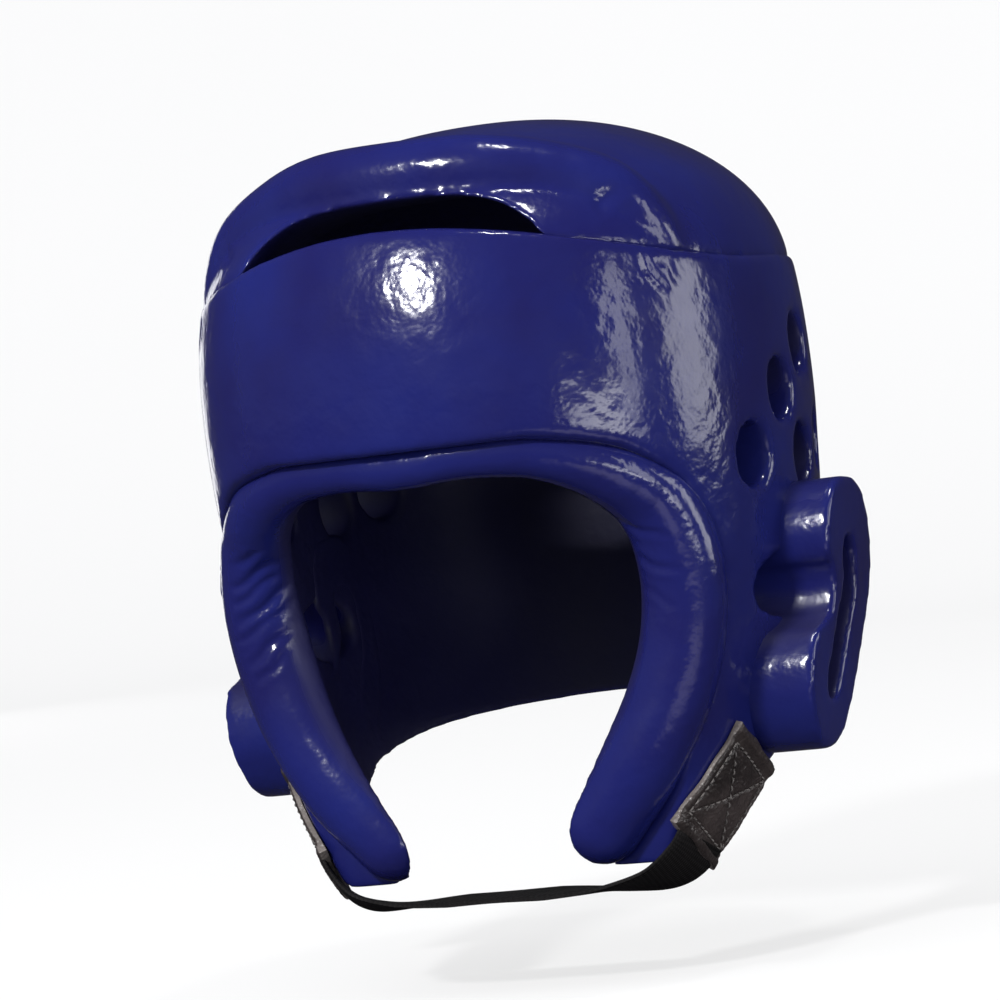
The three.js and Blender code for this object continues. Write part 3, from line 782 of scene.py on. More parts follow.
def push(piece, amounts):
    """Moves each point out along its normal."""
    points, normals = coordinates(piece)
    moved = points + normals * amounts[:, None]
    piece.data.vertices.foreach_set("co", moved.ravel())
    piece.data.update()


def swell(points, phase):
    """Slow uneven swelling that hand-cut foam has, in metres."""
    x, y, z = points.T / SWELL_LENGTH
    waves = np.sin(x * 1.3 + 1.7 * np.sin(y * 0.9 + phase)) * np.sin(z * 1.1 + 1.3 * np.sin(x * 0.8 - phase))
    waves += 0.6 * np.sin(y * 1.9 + phase * 2.1) * np.sin(z * 1.7 - x * 0.6 + phase)
    return SWELL_DEPTH * waves


# How far a crease wanders off its line, and how deep into the foam it may be looked for
FURROW_WANDER = 0.6 * MM
FURROW_REACH = 12 * MM

# Creases in the skin, in millimetres: start, end, direction they face, depth, half width
FURROWS = [
    ((-66, -71, -116), (-80, -74, -124), (0.37, -0.93, 0), 0.6, 1.2),
    ((-65, -71, -123), (-82, -74, -132), (0.37, -0.93, 0), 0.9, 1.3),
    ((-68, -71, -129), (-83, -74, -138), (0.37, -0.93, 0), 0.7, 1.1),
    ((-64, -71, -134), (-82, -74, -145), (0.37, -0.93, 0), 1.0, 1.4),
    ((-67, -71, -142), (-84, -74, -151), (0.37, -0.93, 0), 0.7, 1.1),
    ((-66, -71, -149), (-80, -74, -159), (0.37, -0.93, 0), 0.8, 1.3),
    ((-68, -71, -158), (-79, -73, -166), (0.37, -0.93, 0), 0.5, 1.2),
    ((64, -71, -124), (80, -74, -131), (-0.1, -0.99, 0), 0.5, 1.2),
    ((66, -71, -137), (82, -74, -143), (-0.1, -0.99, 0), 0.6, 1.3),
    ((65, -71, -146), (78, -74, -154), (-0.1, -0.99, 0), 0.4, 1.1),
    ((79, -72, -36), (84, -66, -50), (0.7, -0.7, 0), 0.4, 1.5),
    ((84, -64, -38), (87, -59, -47), (0.75, -0.65, 0), 0.3, 1.4),
    ((-79, -72, -38), (-84, -66, -52), (-0.7, -0.7, 0), 0.6, 1.3),
    ((74, -70, -12), (68, -76, -20), (0.6, -0.7, 0.4), 0.7, 2.4),
    ((-70, -74, -16), (-63, -80, -22), (-0.6, -0.7, 0.4), 0.7, 2.0),
]


def furrows(points):
    """Depth of the skin's creases at each point, in metres."""
    depth = np.zeros(len(points))
    for start, end, facing, deep, half in FURROWS:
        start, end, out = np.array(start) * MM, np.array(end) * MM, np.array(facing, float)
        ahead = end - start
        span = np.linalg.norm(ahead)
        ahead /= span
        side = np.cross(ahead, out / np.linalg.norm(out))
        offset = points - start
        along = offset @ ahead / span
        wander = FURROW_WANDER * np.sin(along * 7 + start[2] / MM)
        across = (offset @ side + wander) / (half * MM)
        inside = (along > -0.1) & (along < 1.1) & (np.abs(offset @ out) < FURROW_REACH)
        fade = np.sin(math.pi * np.clip((along + 0.1) / 1.2, 0, 1)) ** 0.7
        groove = np.exp(-(across**2)) - 0.35 * np.exp(-((np.abs(across) - 2.2) ** 2))
        depth -= np.where(inside, deep * MM * fade * groove, 0)
    return depth


def finish_foam(piece, phase, node):
    """Swells and creases a pad, marks its inner faces for painted shade and a duller gloss, and dips it."""
    points, normals = coordinates(piece)
    push(piece, swell(points, phase) + furrows(points))
    out = points - np.array(HEAD_MIDDLE)
    out /= np.linalg.norm(out, axis=1)[:, None]
    # Painted shade: faces turned towards the head's hollow are marked to be painted darker
    painted_inner_shade = piece.data.attributes.new("painted_inner_shade", "FLOAT", "POINT")
    turned_out = (normals * out).sum(axis=1)
    painted_inner_shade.data.foreach_set("value", np.clip(INNER_SHADE_START - INNER_SHADE_SHARPNESS * turned_out, 0, 1))
    piece.data.materials.clear()
    piece.data.materials.append(made_once("dipped_blue_vinyl", dipped_foam))
    pick(piece)
    bpy.ops.object.shade_smooth()
    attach(piece, "root")
    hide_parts(node)


def grid_sheet(name, upper, lower):
    """Closed sheet between two grids of places of the same shape."""
    rows, cols = upper.shape[:2]
    points = np.concatenate([upper.reshape(-1, 3), lower.reshape(-1, 3)])
    under = rows * cols
    faces = []
    for r in range(rows - 1):
        for c in range(cols - 1):
            a = r * cols + c
            faces.append((a, a + 1, a + cols + 1, a + cols))
            faces.append((under + a, under + a + cols, under + a + cols + 1, under + a + 1))
    edge = [c for c in range(cols)]
    edge += [r * cols + cols - 1 for r in range(1, rows)]
    edge += [(rows - 1) * cols + c for c in range(cols - 2, -1, -1)]
    edge += [r * cols for r in range(rows - 2, 0, -1)]
    for a, b in zip(edge, edge[1:] + edge[:1]):
        faces.append((a, b, under + b, under + a))
    return face_out(mesh_piece(name, points, faces))


def jaw_face():
    """Finds the shell's outer face along the patch's own facing direction."""
    body = band_form("jaw_probe", sizes().patch_gap)
    corners = [v.co.copy() for v in body.data.vertices]
    tree = BVHTree.FromPolygons(corners, [face.vertices for face in body.data.polygons])
    bpy.data.objects.remove(body)
    outside = PATCH_MIDDLE + PATCH_FACING * 50 * MM

    def at(a, b):
        hit, normal, _, _ = tree.ray_cast(outside + PATCH_ALONG * a + PATCH_ACROSS * b, -PATCH_FACING)
        return np.array(hit), np.array(normal)

    return at


def crinkle(a, b, seed):
    """Fine creases of thin leatherette, between -1 and 1."""
    wave = np.sin(a * 1900 + 3 * np.sin(b * 640 + seed)) * np.sin(b * 1500 + 2.4 * np.sin(a * 800 - seed))
    return 0.6 * wave + 0.4 * np.sin((a + 0.7 * b) * 900 + seed) * np.sin((a - b) * 610 - 2 * seed)


def patch_height(a, b):
    """Height of the patch's face over the shell, with folded ends and its stitches sunk in."""
    s = sizes()
    ends = s.patch_length / 2 - abs(a)
    sides = s.patch_width / 2 - abs(b)
    bar = 1 / (1 + math.exp((ends - s.patch_fold) / FOLD_SOFTNESS))
    height = s.patch_thickness + s.patch_fold_rise * bar + CRINKLE_HEIGHT * crinkle(a, b, 1.3)
    inset = s.stitch_inset + s.patch_fold
    across = abs(b) / (s.patch_width / 2 - s.stitch_inset)
    box = min(abs(ends - inset), abs(sides - s.stitch_inset) if ends > inset else 1)
    cross = abs(across - abs(a) / (s.patch_length / 2 - inset)) * s.patch_width / 3 if ends > inset else 1
    near = min(box, cross)
    height -= STITCH_SINK * math.exp(-((near / STITCH_SINK_HALF_WIDTH) ** 2))
    return height - BORDER_FALL * math.exp(-min(ends, sides) / BORDER_WIDTH)


def patch_piece():
    """Leatherette patch on the wearer's left, with its cut border marked for a painted highlight."""
    s = sizes()
    at = jaw_face()
    grid = (PATCH_ROWS, PATCH_COLUMNS)
    upper, lower = np.empty((*grid, 3)), np.empty((*grid, 3))
    for r, a in enumerate(np.linspace(-s.patch_length / 2, s.patch_length / 2, PATCH_ROWS)):
        for c, b in enumerate(np.linspace(-s.patch_width / 2, s.patch_width / 2, PATCH_COLUMNS)):
            wander = END_WANDER * math.sin(b * 420) if abs(a) > 0.49 * s.patch_length else 0
            place, normal = at(a + wander, b + SIDE_WANDER * math.sin(a * 380))
            lower[r, c] = place
            upper[r, c] = place + normal * patch_height(a, b)
    piece = grid_sheet("strap_patch_left_skin", upper, lower)
    # The marked border gets a painted highlight
    border = np.zeros((2, *grid))
    border[:, [0, -1], :] = 1
    border[:, :, [0, -1]] = 1
    cut = piece.data.attributes.new("cut", "FLOAT", "POINT")
    cut.data.foreach_set("value", border.ravel())
    return piece


def stitch_run(a0, b0, a1, b1):
    """Start and end of each stitch between two places on the patch."""
    s = sizes()
    count = max(1, round(math.hypot(a1 - a0, b1 - b0) / s.stitch_pitch))
    for i in range(count):
        t0, t1 = (i + 0.14) / count, (i + 0.86) / count
        yield (a0 + (a1 - a0) * t0, b0 + (b1 - b0) * t0), (a0 + (a1 - a0) * t1, b0 + (b1 - b0) * t1)


def stitch_points(at, start, end):
    """Places on one stitch, which arches over the leatherette and thins into its holes."""
    s = sizes()
    (a0, b0), (a1, b1) = start, end
    ahead = np.array(PATCH_ALONG) * (a1 - a0) + np.array(PATCH_ACROSS) * (b1 - b0)
    ahead /= np.linalg.norm(ahead)
    points = []
    for t in np.linspace(0, 1, STITCH_RINGS):
        a, b = a0 + (a1 - a0) * t, b0 + (b1 - b0) * t
        place, normal = at(a, b)
        side = np.cross(ahead, normal)
        arch = math.sin(math.pi * t)
        size = s.thread_radius * (0.55 + 0.45 * arch)
        middle = place + normal * (patch_height(a, b) + s.thread_radius * (1.1 * arch + 0.1))
        for turn in np.linspace(0, 2 * math.pi, STITCH_SIDES, endpoint=False):
            points.append(middle + size * (math.cos(turn) * side + math.sin(turn) * normal))
    return points


def stitching_piece():
    """Box of stitches with a cross in it, on the wearer's left patch."""
    s = sizes()
    at = jaw_face()
    half_a = s.patch_length / 2 - s.stitch_inset - s.patch_fold
    half_b = s.patch_width / 2 - s.stitch_inset
    corners = [(-half_a, -half_b), (half_a, -half_b), (half_a, half_b), (-half_a, half_b)]
    runs = [(corners[i], corners[(i + 1) % 4]) for i in range(4)]
    runs += [(corners[0], corners[2]), (corners[1], corners[3])]
    points, faces = [], []
    for run_start, run_end in runs:
        for start, end in stitch_run(*run_start, *run_end):
            first = len(points)
            points += stitch_points(at, start, end)
            for r in range(first, len(points) - STITCH_SIDES, STITCH_SIDES):
                for k in range(STITCH_SIDES):
                    a, b = r + k, r + (k + 1) % STITCH_SIDES
                    faces.append((a, b, b + STITCH_SIDES, a + STITCH_SIDES))
            faces.append(tuple(range(first, first + STITCH_SIDES))[::-1])
            faces.append(tuple(range(len(points) - STITCH_SIDES, len(points))))
    return face_out(mesh_piece("patch_stitching_left", points, faces))


def strap_piece():
    """Webbing from patch to patch under the chin, with its weave mapped in millimetres."""
    s = sizes()
    end_along = s.patch_length / 2 - s.strap_tuck
    start = PATCH_MIDDLE + PATCH_ALONG * end_along + PATCH_FACING * s.strap_stand_off
    left = [(start.x * r["across"], start.y + (-s.strap_reach - start.y) * r["reach"],
             start.z + (-s.strap_drop - start.z) * r["drop"]) for r in STRAP_STATIONS]
    line, ahead = smooth_line(both_sides(left), STRAP_RINGS)
    turns = both_sides_of([r["turn"] for r in STRAP_STATIONS])
    turn = np.interp(np.linspace(0, 1, STRAP_RINGS), np.linspace(0, 1, len(turns)), turns)
    lengths = np.concatenate([[0], np.cumsum(np.linalg.norm(np.diff(line, axis=0), axis=1))]) / MM
    edge = np.linspace(-1, 1, STRAP_EDGE_POINTS)
    upper = [(w, 1 - STRAP_EDGE_FALL * abs(w) ** STRAP_EDGE_SHARPNESS) for w in edge]
    profile = upper + [(w, -h) for w, h in upper[::-1]]
    rings = []
    for i in range(STRAP_RINGS):
        sloped = np.array(PATCH_ACROSS) * ((1 if line[i][0] >= 0 else -1), 1, 1)
        wide = sloped * (1 - turn[i]) + np.array((0, 1, 0)) * turn[i]
        wide -= ahead[i] * np.dot(wide, ahead[i])
        wide /= np.linalg.norm(wide)
        thick = np.cross(ahead[i], wide)
        ripple = STRAP_RIPPLE * math.sin(lengths[i] / 9) * math.sin(lengths[i] / 23 + 1)
        half_wide, half_thick = wide * s.strap_width / 2, s.strap_thickness / 2
        rings.append([line[i] + half_wide * w + thick * (half_thick * h + ripple * w) for w, h in profile])
    strap = loft("chin_strap_webbing", rings)
    weave = strap.data.uv_layers.new(name="weave")
    per_ring = len(profile)
    for loop in strap.data.loops:
        ring, place = divmod(loop.vertex_index, per_ring)
        ring = min(ring, STRAP_RINGS - 1)
        across_mm = profile[place][0] * s.strap_width / 2 / MM
        weave.data[loop.index].uv = (lengths[ring], across_mm)
    return strap


def dress(piece, material, slot, *nodes):
    """Gives a trimming its material, and what it stands for."""
    piece.data.materials.append(material)
    pick(piece)
    bpy.ops.object.shade_smooth_by_angle(angle=math.radians(50))
    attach(piece, "root")
    if nodes:
        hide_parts(*nodes)


def mirror_copy(piece, name):
    """The same piece on the wearer's right."""
    other = piece.copy()
    other.data = piece.data.copy()
    other.name = other.data.name = name
    bpy.context.scene.collection.objects.link(other)
    other.data.transform(Matrix.Scale(-1, 4, (1, 0, 0)))
    other.data.flip_normals()
    return other


# Materials


def opaque(shade):
    """Colour with its alpha."""
    return (*shade, 1)


def paler(shade, times):
    """Colour made paler by one factor, with its alpha."""
    return opaque(min(value * times, 1) for value in shade)


class Nodes:
    """Small helper that adds and links nodes of one tree."""

    def __init__(self, tree):
        self.tree = tree

    def feed(self, node, key, value):
        """Links or sets one input, named or numbered."""
        socket = node.inputs[key]
        if isinstance(value, bpy.types.NodeSocket):
            self.tree.links.new(value, socket)
        else:
            socket.default_value = value

    def add(self, kind, values=None, **inputs):
        """New node with these settings and these named inputs."""
        node = self.tree.nodes.new(kind)
        for key, value in (values or {}).items():
            setattr(node, key, value)
        for key, value in inputs.items():
            self.feed(node, key.replace("_", " "), value)
        return node

    def noise(self, place, scale, detail, roughness=0.5):
        """Mask of soft noise at a scale."""
        return self.add("ShaderNodeTexNoise", Vector=place, Scale=scale, Detail=detail,
                        Roughness=roughness).outputs["Fac"]

    def spread(self, value, **ends):
        """Value mapped from one range to another."""
        return self.add("ShaderNodeMapRange", Value=value, **ends).outputs["Result"]

    def ramp(self, factor, *stops):
        """Shades at two or more places on the factor, blended between them."""
        node = self.add("ShaderNodeValToRGB", Fac=factor)
        for _ in stops[2:]:
            node.color_ramp.elements.new(0.5)
        for element, (position, shade) in zip(node.color_ramp.elements, stops):
            element.position = position
            element.color = shade
        return node.outputs["Color"]

    def math(self, operation, *values):
        node = self.add("ShaderNodeMath", values={"operation": operation})
        for i, value in enumerate(values):
            self.feed(node, i, value)
        return node.outputs[0]

    def vector(self, operation, a, b):
        """Distance or dot product of two vectors."""
        node = self.add("ShaderNodeVectorMath", values={"operation": operation})
        self.feed(node, 0, a)
        self.feed(node, 1, b)
        return node.outputs["Value"]

    def blend(self, factor, a, b):
        """Shader that goes from one to another by a factor."""
        node = self.add("ShaderNodeMixShader")
        for i, value in enumerate((factor, a, b)):
            self.feed(node, i, value)
        return node.outputs["Shader"]

    def mix(self, factor, a, b):
        """Colour that goes from one to another by a factor."""
        node = self.add("ShaderNodeMix", values={"data_type": "RGBA"})
        for i, value in ((0, factor), (6, a), (7, b)):
            self.feed(node, i, value)
        return node.outputs[2]


def dust_group():
    """Pale dust in soft clouds over a shade, shared by the black trimmings."""
    group = bpy.data.node_groups.get("trimming_dust")
    if group:
        return group
    group = bpy.data.node_groups.new("trimming_dust", "ShaderNodeTree")
    for label, kind in (("Place", "Vector"), ("Scale", "Float"), ("Shade", "Color"), ("Dust", "Color")):
        group.interface.new_socket(label, in_out="INPUT", socket_type="NodeSocket" + kind)
    group.interface.new_socket("Tone", in_out="OUTPUT", socket_type="NodeSocketColor")
    n = Nodes(group)
    given = n.add("NodeGroupInput").outputs
    cover = n.spread(n.noise(given["Place"], given["Scale"], 3.0), From_Min=0.35, From_Max=0.75)
    n.add("NodeGroupOutput", Tone=n.mix(cover, given["Shade"], given["Dust"]))
    return group


def dusted(n, **inputs):
    """Base colour with the shared dust over it."""
    return n.add("ShaderNodeGroup", values={"node_tree": dust_group()}, **inputs).outputs["Tone"]


def made_once(name, build):
    """The material of this name, built the first time that it is asked for."""
    material = bpy.data.materials.get(name)
    if not material:
        material = bpy.data.materials.new(name)
        material.use_nodes = True
        tree = material.node_tree
        build(Nodes(tree), tree.nodes["Principled BSDF"])
    return material


def raise_grain(n, shader, height, strength, distance):
    """Raises a surface by a height."""
    bump = n.add("ShaderNodeBump", Height=height, Strength=strength, Distance=distance)
    n.feed(shader, "Normal", bump.outputs["Normal"])


def dipped_foam(n, shader):
    """Glossy blue vinyl dip with orange peel and pooled colour; its inner faces are darkened with painted
    shade and made duller.
    """
    c = colours()
    dark = opaque(c.dip_dark_and_painted_shade)
    place = n.add("ShaderNodeTexCoord").outputs["Object"]
    tone = n.ramp(n.noise(place, 16.0, 3.0), (0.3, dark), (0.7, opaque(c.dip)))
    sag = n.noise(place, 70.0, 1.0)
    peel = n.noise(place, 190.0, 2.0)
    fine = n.noise(place, 520.0, 1.0)
    # Painted shade: the inner faces are darkened towards the dip shade, and also made rougher
    painted_inner_shade = n.add("ShaderNodeAttribute", values={"attribute_name": "painted_inner_shade"}).outputs["Fac"]
    n.feed(shader, "Base Color", n.mix(painted_inner_shade, tone, dark))
    n.feed(shader, "Roughness", n.math("MULTIPLY_ADD", painted_inner_shade, 0.36, n.spread(sag, To_Min=0.1, To_Max=0.22)))
    height = n.math("MULTIPLY_ADD", fine, 0.04, n.math("MULTIPLY_ADD", sag, 1.4, peel))
    raise_grain(n, shader, height, 0.6, 0.5 * MM)


def thread(n, shader):
    """Twisted black thread, a little dusty."""
    shade = colours().thread
    place = n.add("ShaderNodeTexCoord").outputs["Object"]
    twist = n.add("ShaderNodeTexWave", Vector=place, Scale=900.0, Distortion=2.0).outputs["Fac"]
    plies = n.ramp(twist, (0.2, opaque(shade)), (0.8, paler(shade, 4.0)))
    tone = dusted(n, Place=place, Scale=120.0, Shade=plies, Dust=paler(shade, 5.0))
    n.feed(shader, "Base Color", tone)
    n.feed(shader, "Roughness", 0.7)
    raise_grain(n, shader, twist, 0.5, 0.2 * MM)


def leatherette(n, shader):
    """Crinkled black leatherette with a painted highlight along its cut edge."""
    c = colours()
    place = n.add("ShaderNodeTexCoord").outputs["Object"]
    grain = n.add("ShaderNodeTexVoronoi", Vector=place, Scale=900.0).outputs["Distance"]
    crinkled = n.noise(place, 260.0, 4.0, 0.6)
    cut = n.add("ShaderNodeAttribute", values={"attribute_name": "cut"}).outputs["Fac"]
    # Painted highlight: the cut border is painted pale
    skin = n.mix(cut, opaque(c.leatherette), opaque(c.painted_edge_highlight))
    tone = dusted(n, Place=place, Scale=70.0, Shade=skin, Dust=paler(c.leatherette, 3.2))
    n.feed(shader, "Base Color", tone)
    n.feed(shader, "Roughness", n.spread(n.noise(place, 70.0, 3.0), To_Min=0.26, To_Max=0.5))
    raise_grain(n, shader, n.math("MULTIPLY_ADD", grain, 0.5, crinkled), 0.6, 0.6 * MM)


def webbing(n, shader):
    """Woven black webbing, on the strap's own map in millimetres."""
    shade = colours().webbing
    weave_map = n.add("ShaderNodeUVMap", values={"uv_map": "weave"}).outputs["UV"]
    across = n.add("ShaderNodeTexWave", values={"bands_direction": "X"}, Vector=weave_map, Scale=0.17)
    along = n.add("ShaderNodeTexWave", values={"bands_direction": "Y"}, Vector=weave_map, Scale=0.26)
    weave = n.math("MULTIPLY", across.outputs["Fac"], along.outputs["Fac"])
    fuzzy = n.math("MULTIPLY", weave, n.noise(weave_map, 3.0, 4.0))
    yarn = n.ramp(fuzzy, (0.1, opaque(shade)), (0.7, paler(shade, 3.0)))
    tone = dusted(n, Place=weave_map, Scale=0.07, Shade=yarn, Dust=paler(shade, 2.2))
    n.feed(shader, "Base Color", tone)
    n.feed(shader, "Roughness", 0.8)
    n.feed(shader, "Specular IOR Level", 0.25)
    raise_grain(n, shader, weave, 0.7, 0.5 * MM)


def floor_paint(n, shader):
    """Pale matt paint, which the object's own gloss sees as a dim room with one bright patch."""
    pale = colours().floor
    place = n.add("ShaderNodeTexCoord").outputs["Object"]
    clouds = n.noise(place, 3.0, 2.0)
    n.feed(shader, "Base Color", n.ramp(clouds, (0.3, paler(pale, 0.985)), (0.7, opaque(pale))))
    n.feed(shader, "Roughness", 0.9)
    n.feed(shader, "Specular IOR Level", 0.1)
    patch = n.add("ShaderNodeMapRange", values={"interpolation_type": "SMOOTHSTEP"},
                  Value=n.vector("DISTANCE", place, BRIGHT_PATCH_PLACE), From_Min=0.06, From_Max=0.2,
                  To_Min=22.0, To_Max=1.0)
    room = n.add("ShaderNodeEmission", Color=(0.045, 0.042, 0.05, 1), Strength=patch.outputs["Result"])
    glow = n.add("ShaderNodeEmission", Color=(0.93, 0.93, 0.93, 1), Strength=1.0)
    ray = n.add("ShaderNodeLightPath").outputs
    in_view = n.math("MULTIPLY", ray["Is Camera Ray"], 0.75)
    seen = n.blend(in_view, shader.outputs["BSDF"], glow.outputs["Emission"])
    unseen = n.math("MULTIPLY_ADD", ray["Is Diffuse Ray"], 0.75, ray["Is Glossy Ray"])
    surface = n.blend(unseen, seen, room.outputs["Emission"])
    n.feed(n.tree.nodes["Material Output"], "Surface", surface)


# Operators


class HEADGEAR_OT_crown(bpy.types.Operator):
    """Dome over the head, with the front roll over its vent slot"""

    bl_idname = "headgear.crown"
    bl_label = "Crown pad"

    def execute(self, context):
        s = sizes()
        crown = crown_form()
        crown.name = crown.data.name = "crown_pad_skin"
        combine(crown, [front_roll_form()], "UNION")
        combine(crown, [head_form(), slot_form()], "DIFFERENCE")
        combine(crown, [above_crease(-s.crease_tuck)], "INTERSECT")
        relax(crown, s.voxel, RELAX_ROUNDS["crown"])
        finish_foam(crown, SWELL_START["crown"], "crown_pad")
        return {"FINISHED"}


class HEADGEAR_OT_band(bpy.types.Operator):
    """Band, sides, back and jaw in one shell, with its vents and ear openings"""

    bl_idname = "headgear.band"
    bl_label = "Head band"

    def execute(self, context):
        s = sizes()
        band = band_form("head_band_skin")
        cuts = [head_form(), above_crease(s.crease_tuck), face_opening(), ahead_of_rim()]
        cuts += [rim_form(-s.rim_sink), below_hem()]
        combine(band, cuts + side_bores(1) + side_bores(-1), "DIFFERENCE")
        relax(band, s.voxel, RELAX_ROUNDS["band"])
        finish_foam(band, SWELL_START["band"], "head_band")
        return {"FINISHED"}


class HEADGEAR_OT_rim(bpy.types.Operator):
    """Rolled rim round the face"""

    bl_idname = "headgear.rim"
    bl_label = "Cheek roll"

    def execute(self, context):
        s = sizes()
        rim = rim_form()
        rim.name = rim.data.name = "cheek_roll_skin"
        combine(rim, [head_form()], "DIFFERENCE")
        relax(rim, s.voxel, RELAX_ROUNDS["rim"])
        finish_foam(rim, SWELL_START["rim"], "cheek_roll")
        return {"FINISHED"}


class HEADGEAR_OT_guards(bpy.types.Operator):
    """Ear guards with their curved slot"""

    bl_idname = "headgear.guards"
    bl_label = "Ear guards"

    def execute(self, context):
        s = sizes()
        guard = guard_form()
        guard.name = guard.data.name = "ear_guard_left_skin"
        combine(guard, [guard_slot(), head_form()], "DIFFERENCE")
        relax(guard, 0.8 * s.voxel, RELAX_ROUNDS["guards"])
        other = mirror_copy(guard, "ear_guard_right_skin")
        finish_foam(guard, SWELL_START["guard_left"], "ear_guard_left")
        finish_foam(other, SWELL_START["guard_right"], "ear_guard_right")
        return {"FINISHED"}


class HEADGEAR_OT_patches(bpy.types.Operator):
    """Leatherette strap patches on the jaw, with folded ends and crossed stitching"""

    bl_idname = "headgear.patches"
    bl_label = "Strap patches"

    def execute(self, context):
        left = patch_piece()
        right = mirror_copy(left, "strap_patch_right_skin")
        skin = made_once("black_leatherette", leatherette)
        dress(left, skin, "leatherette", "strap_patch_left")
        dress(right, skin, "leatherette", "strap_patch_right")
        thread_left = stitching_piece()
        thread_right = mirror_copy(thread_left, "patch_stitching_right")
        for piece in (thread_left, thread_right):
            dress(piece, made_once("black_thread", thread), "leatherette")
        return {"FINISHED"}


class HEADGEAR_OT_strap(bpy.types.Operator):
    """Webbing chin strap"""

    bl_idname = "headgear.strap"
    bl_label = "Chin strap"

    def execute(self, context):
        dress(strap_piece(), made_once("black_webbing", webbing), "webbing", "chin_strap")
        return {"FINISHED"}


class HEADGEAR_OT_stage(bpy.types.Operator):
    """Floor, lights and camera"""

    bl_idname = "headgear.stage"
    bl_label = "Stage"

    def execute(self, context):
        scene = context.scene
        low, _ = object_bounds()
        floor = backdrop_sheet(low[2] - FLOOR_BELOW)
        floor.data.materials.append(made_once("pale_floor", floor_paint))
        floor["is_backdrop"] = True
        light_world(scene)
        for row in LIGHTS:
            area_light(scene, *row)
        add_camera(scene)
        return {"FINISHED"}


# Stage


def backdrop_sheet(height):
    """Floor that sweeps up into a wall behind the object."""
    profile = [(-STAGE_HALF, 0.0), (SWEEP_START, 0.0)]
    for a in np.linspace(0, math.pi / 2, SWEEP_POINTS)[1:]:
        profile.append((SWEEP_START + SWEEP_RADIUS * math.sin(a), SWEEP_RADIUS * (1 - math.cos(a))))
    profile.append((SWEEP_START + SWEEP_RADIUS, WALL_HEIGHT))
    points = [(x, y, height + z) for y, z in profile for x in (-STAGE_HALF, STAGE_HALF)]
    faces = [(2 * i, 2 * i + 1, 2 * i + 3, 2 * i + 2) for i in range(len(profile) - 1)]
    sheet = mesh_piece("backdrop", points, faces)
    pick(sheet)
    bpy.ops.object.shade_smooth()
    return sheet


def area_light(scene, name, place, aim, width, height, power, matt_share):
    data = bpy.data.lights.new(name, "AREA")
    data.shape = "RECTANGLE"
    data.size, data.size_y, data.energy = width, height, power
    data.diffuse_factor = matt_share
    lamp = bpy.data.objects.new(name, data)
    lamp.location = place
    lamp.rotation_euler = (Vector(aim) - Vector(place)).to_track_quat("-Z", "Y").to_euler()
    scene.collection.objects.link(lamp)


def light_world(scene):
    """White behind the object, daylight from one side, and a dim room for it to reflect."""
    world = bpy.data.worlds.new("studio")
    world.use_nodes = True
    scene.world = world
    n = Nodes(world.node_tree)
    backdrop = world.node_tree.nodes["Background"]
    n.feed(backdrop, "Color", (1, 1, 1, 1))
    n.feed(backdrop, "Strength", 1.0)
    direction = n.add("ShaderNodeTexCoord").outputs["Generated"]
    height = n.add("ShaderNodeSeparateXYZ", Vector=direction).outputs["Z"]
    sky = n.ramp(n.math("MULTIPLY_ADD", height, 0.5, 0.5), *ROOM_STOPS)
    room = n.add("ShaderNodeBackground", Color=sky, Strength=0.6)
    side = n.vector("DOT_PRODUCT", direction, DAYLIGHT_FROM)
    strength = n.spread(side, From_Min=-1.0, To_Min=0.03, To_Max=1.95)
    daylight = n.add("ShaderNodeBackground", Color=(0.96, 0.97, 1.0, 1), Strength=strength)
    ray = n.add("ShaderNodeLightPath").outputs
    seen = n.blend(ray["Is Camera Ray"], daylight.outputs["Background"], backdrop.outputs["Background"])
    surface = n.blend(ray["Is Glossy Ray"], seen, room.outputs["Background"])
    n.feed(world.node_tree.nodes["World Output"], "Surface", surface)
    scene.view_settings.view_transform = "Standard"


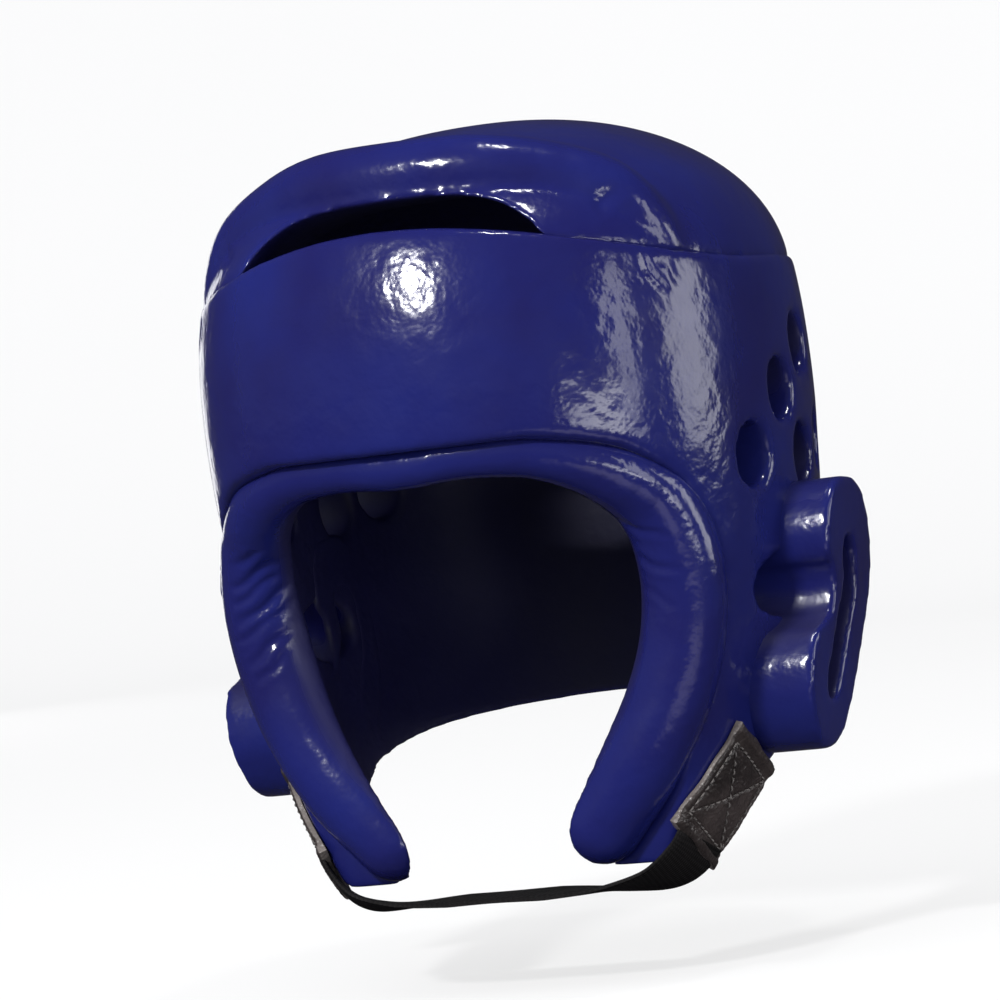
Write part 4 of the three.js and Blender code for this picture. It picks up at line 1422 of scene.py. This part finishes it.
def add_camera(scene):
    """Camera at the angle from which the headgear is seen, from its front and its wearer's left."""
    data = bpy.data.cameras.new("photo_camera")
    camera = bpy.data.objects.new("photo_camera", data)
    scene.collection.objects.link(camera)
    a, e = math.radians(CAMERA_AZIMUTH), math.radians(CAMERA_ELEVATION)
    back = Vector((math.sin(a) * math.cos(e), -math.cos(a) * math.cos(e), math.sin(e)))
    camera.location = Vector(CAMERA_AIM) + back * CAMERA_DISTANCE
    level = (-back).to_track_quat("-Z", "Y").to_matrix().to_4x4()
    roll = Matrix.Rotation(math.radians(-CAMERA_ROLL), 4, "Z")
    camera.rotation_euler = (level @ roll).to_euler()
    data.sensor_width = SENSOR_WIDTH_MM
    data.lens = SENSOR_WIDTH_MM * CAMERA_DISTANCE / FRAME_WIDTH_AT_AIM
    scene.camera = camera


class HEADGEAR_PT_panel(bpy.types.Panel):
    """Sizes, colours and pieces of the headgear"""

    bl_idname = "HEADGEAR_PT_panel"
    bl_label = "Sparring Headgear"
    bl_space_type = "VIEW_3D"
    bl_region_type = "UI"
    bl_category = "Headgear"

    def draw(self, context):
        for operator in OPERATORS:
            self.layout.operator(operator.bl_idname)
        for group in (context.scene.headgear_sizes, context.scene.headgear_colours):
            box = self.layout.box()
            for key in group.__annotations__:
                box.prop(group, key)


OPERATORS = [
    HEADGEAR_OT_crown, HEADGEAR_OT_band, HEADGEAR_OT_rim, HEADGEAR_OT_guards, HEADGEAR_OT_patches,
    HEADGEAR_OT_strap, HEADGEAR_OT_stage,
]
CLASSES = [HeadgearSizes, HeadgearColours, *OPERATORS, HEADGEAR_PT_panel]


def register():
    for entry in CLASSES:
        bpy.utils.register_class(entry)
    bpy.types.Scene.headgear_sizes = PointerProperty(type=HeadgearSizes)
    bpy.types.Scene.headgear_colours = PointerProperty(type=HeadgearColours)


def unregister():
    del bpy.types.Scene.headgear_colours
    del bpy.types.Scene.headgear_sizes
    for entry in reversed(CLASSES):
        bpy.utils.unregister_class(entry)


def main():
    register()
    bpy.ops.headgear.crown()
    bpy.ops.headgear.band()
    bpy.ops.headgear.rim()
    bpy.ops.headgear.guards()
    bpy.ops.headgear.patches()
    bpy.ops.headgear.strap()
    bpy.ops.headgear.stage()


if __name__ == "__main__":
    main()
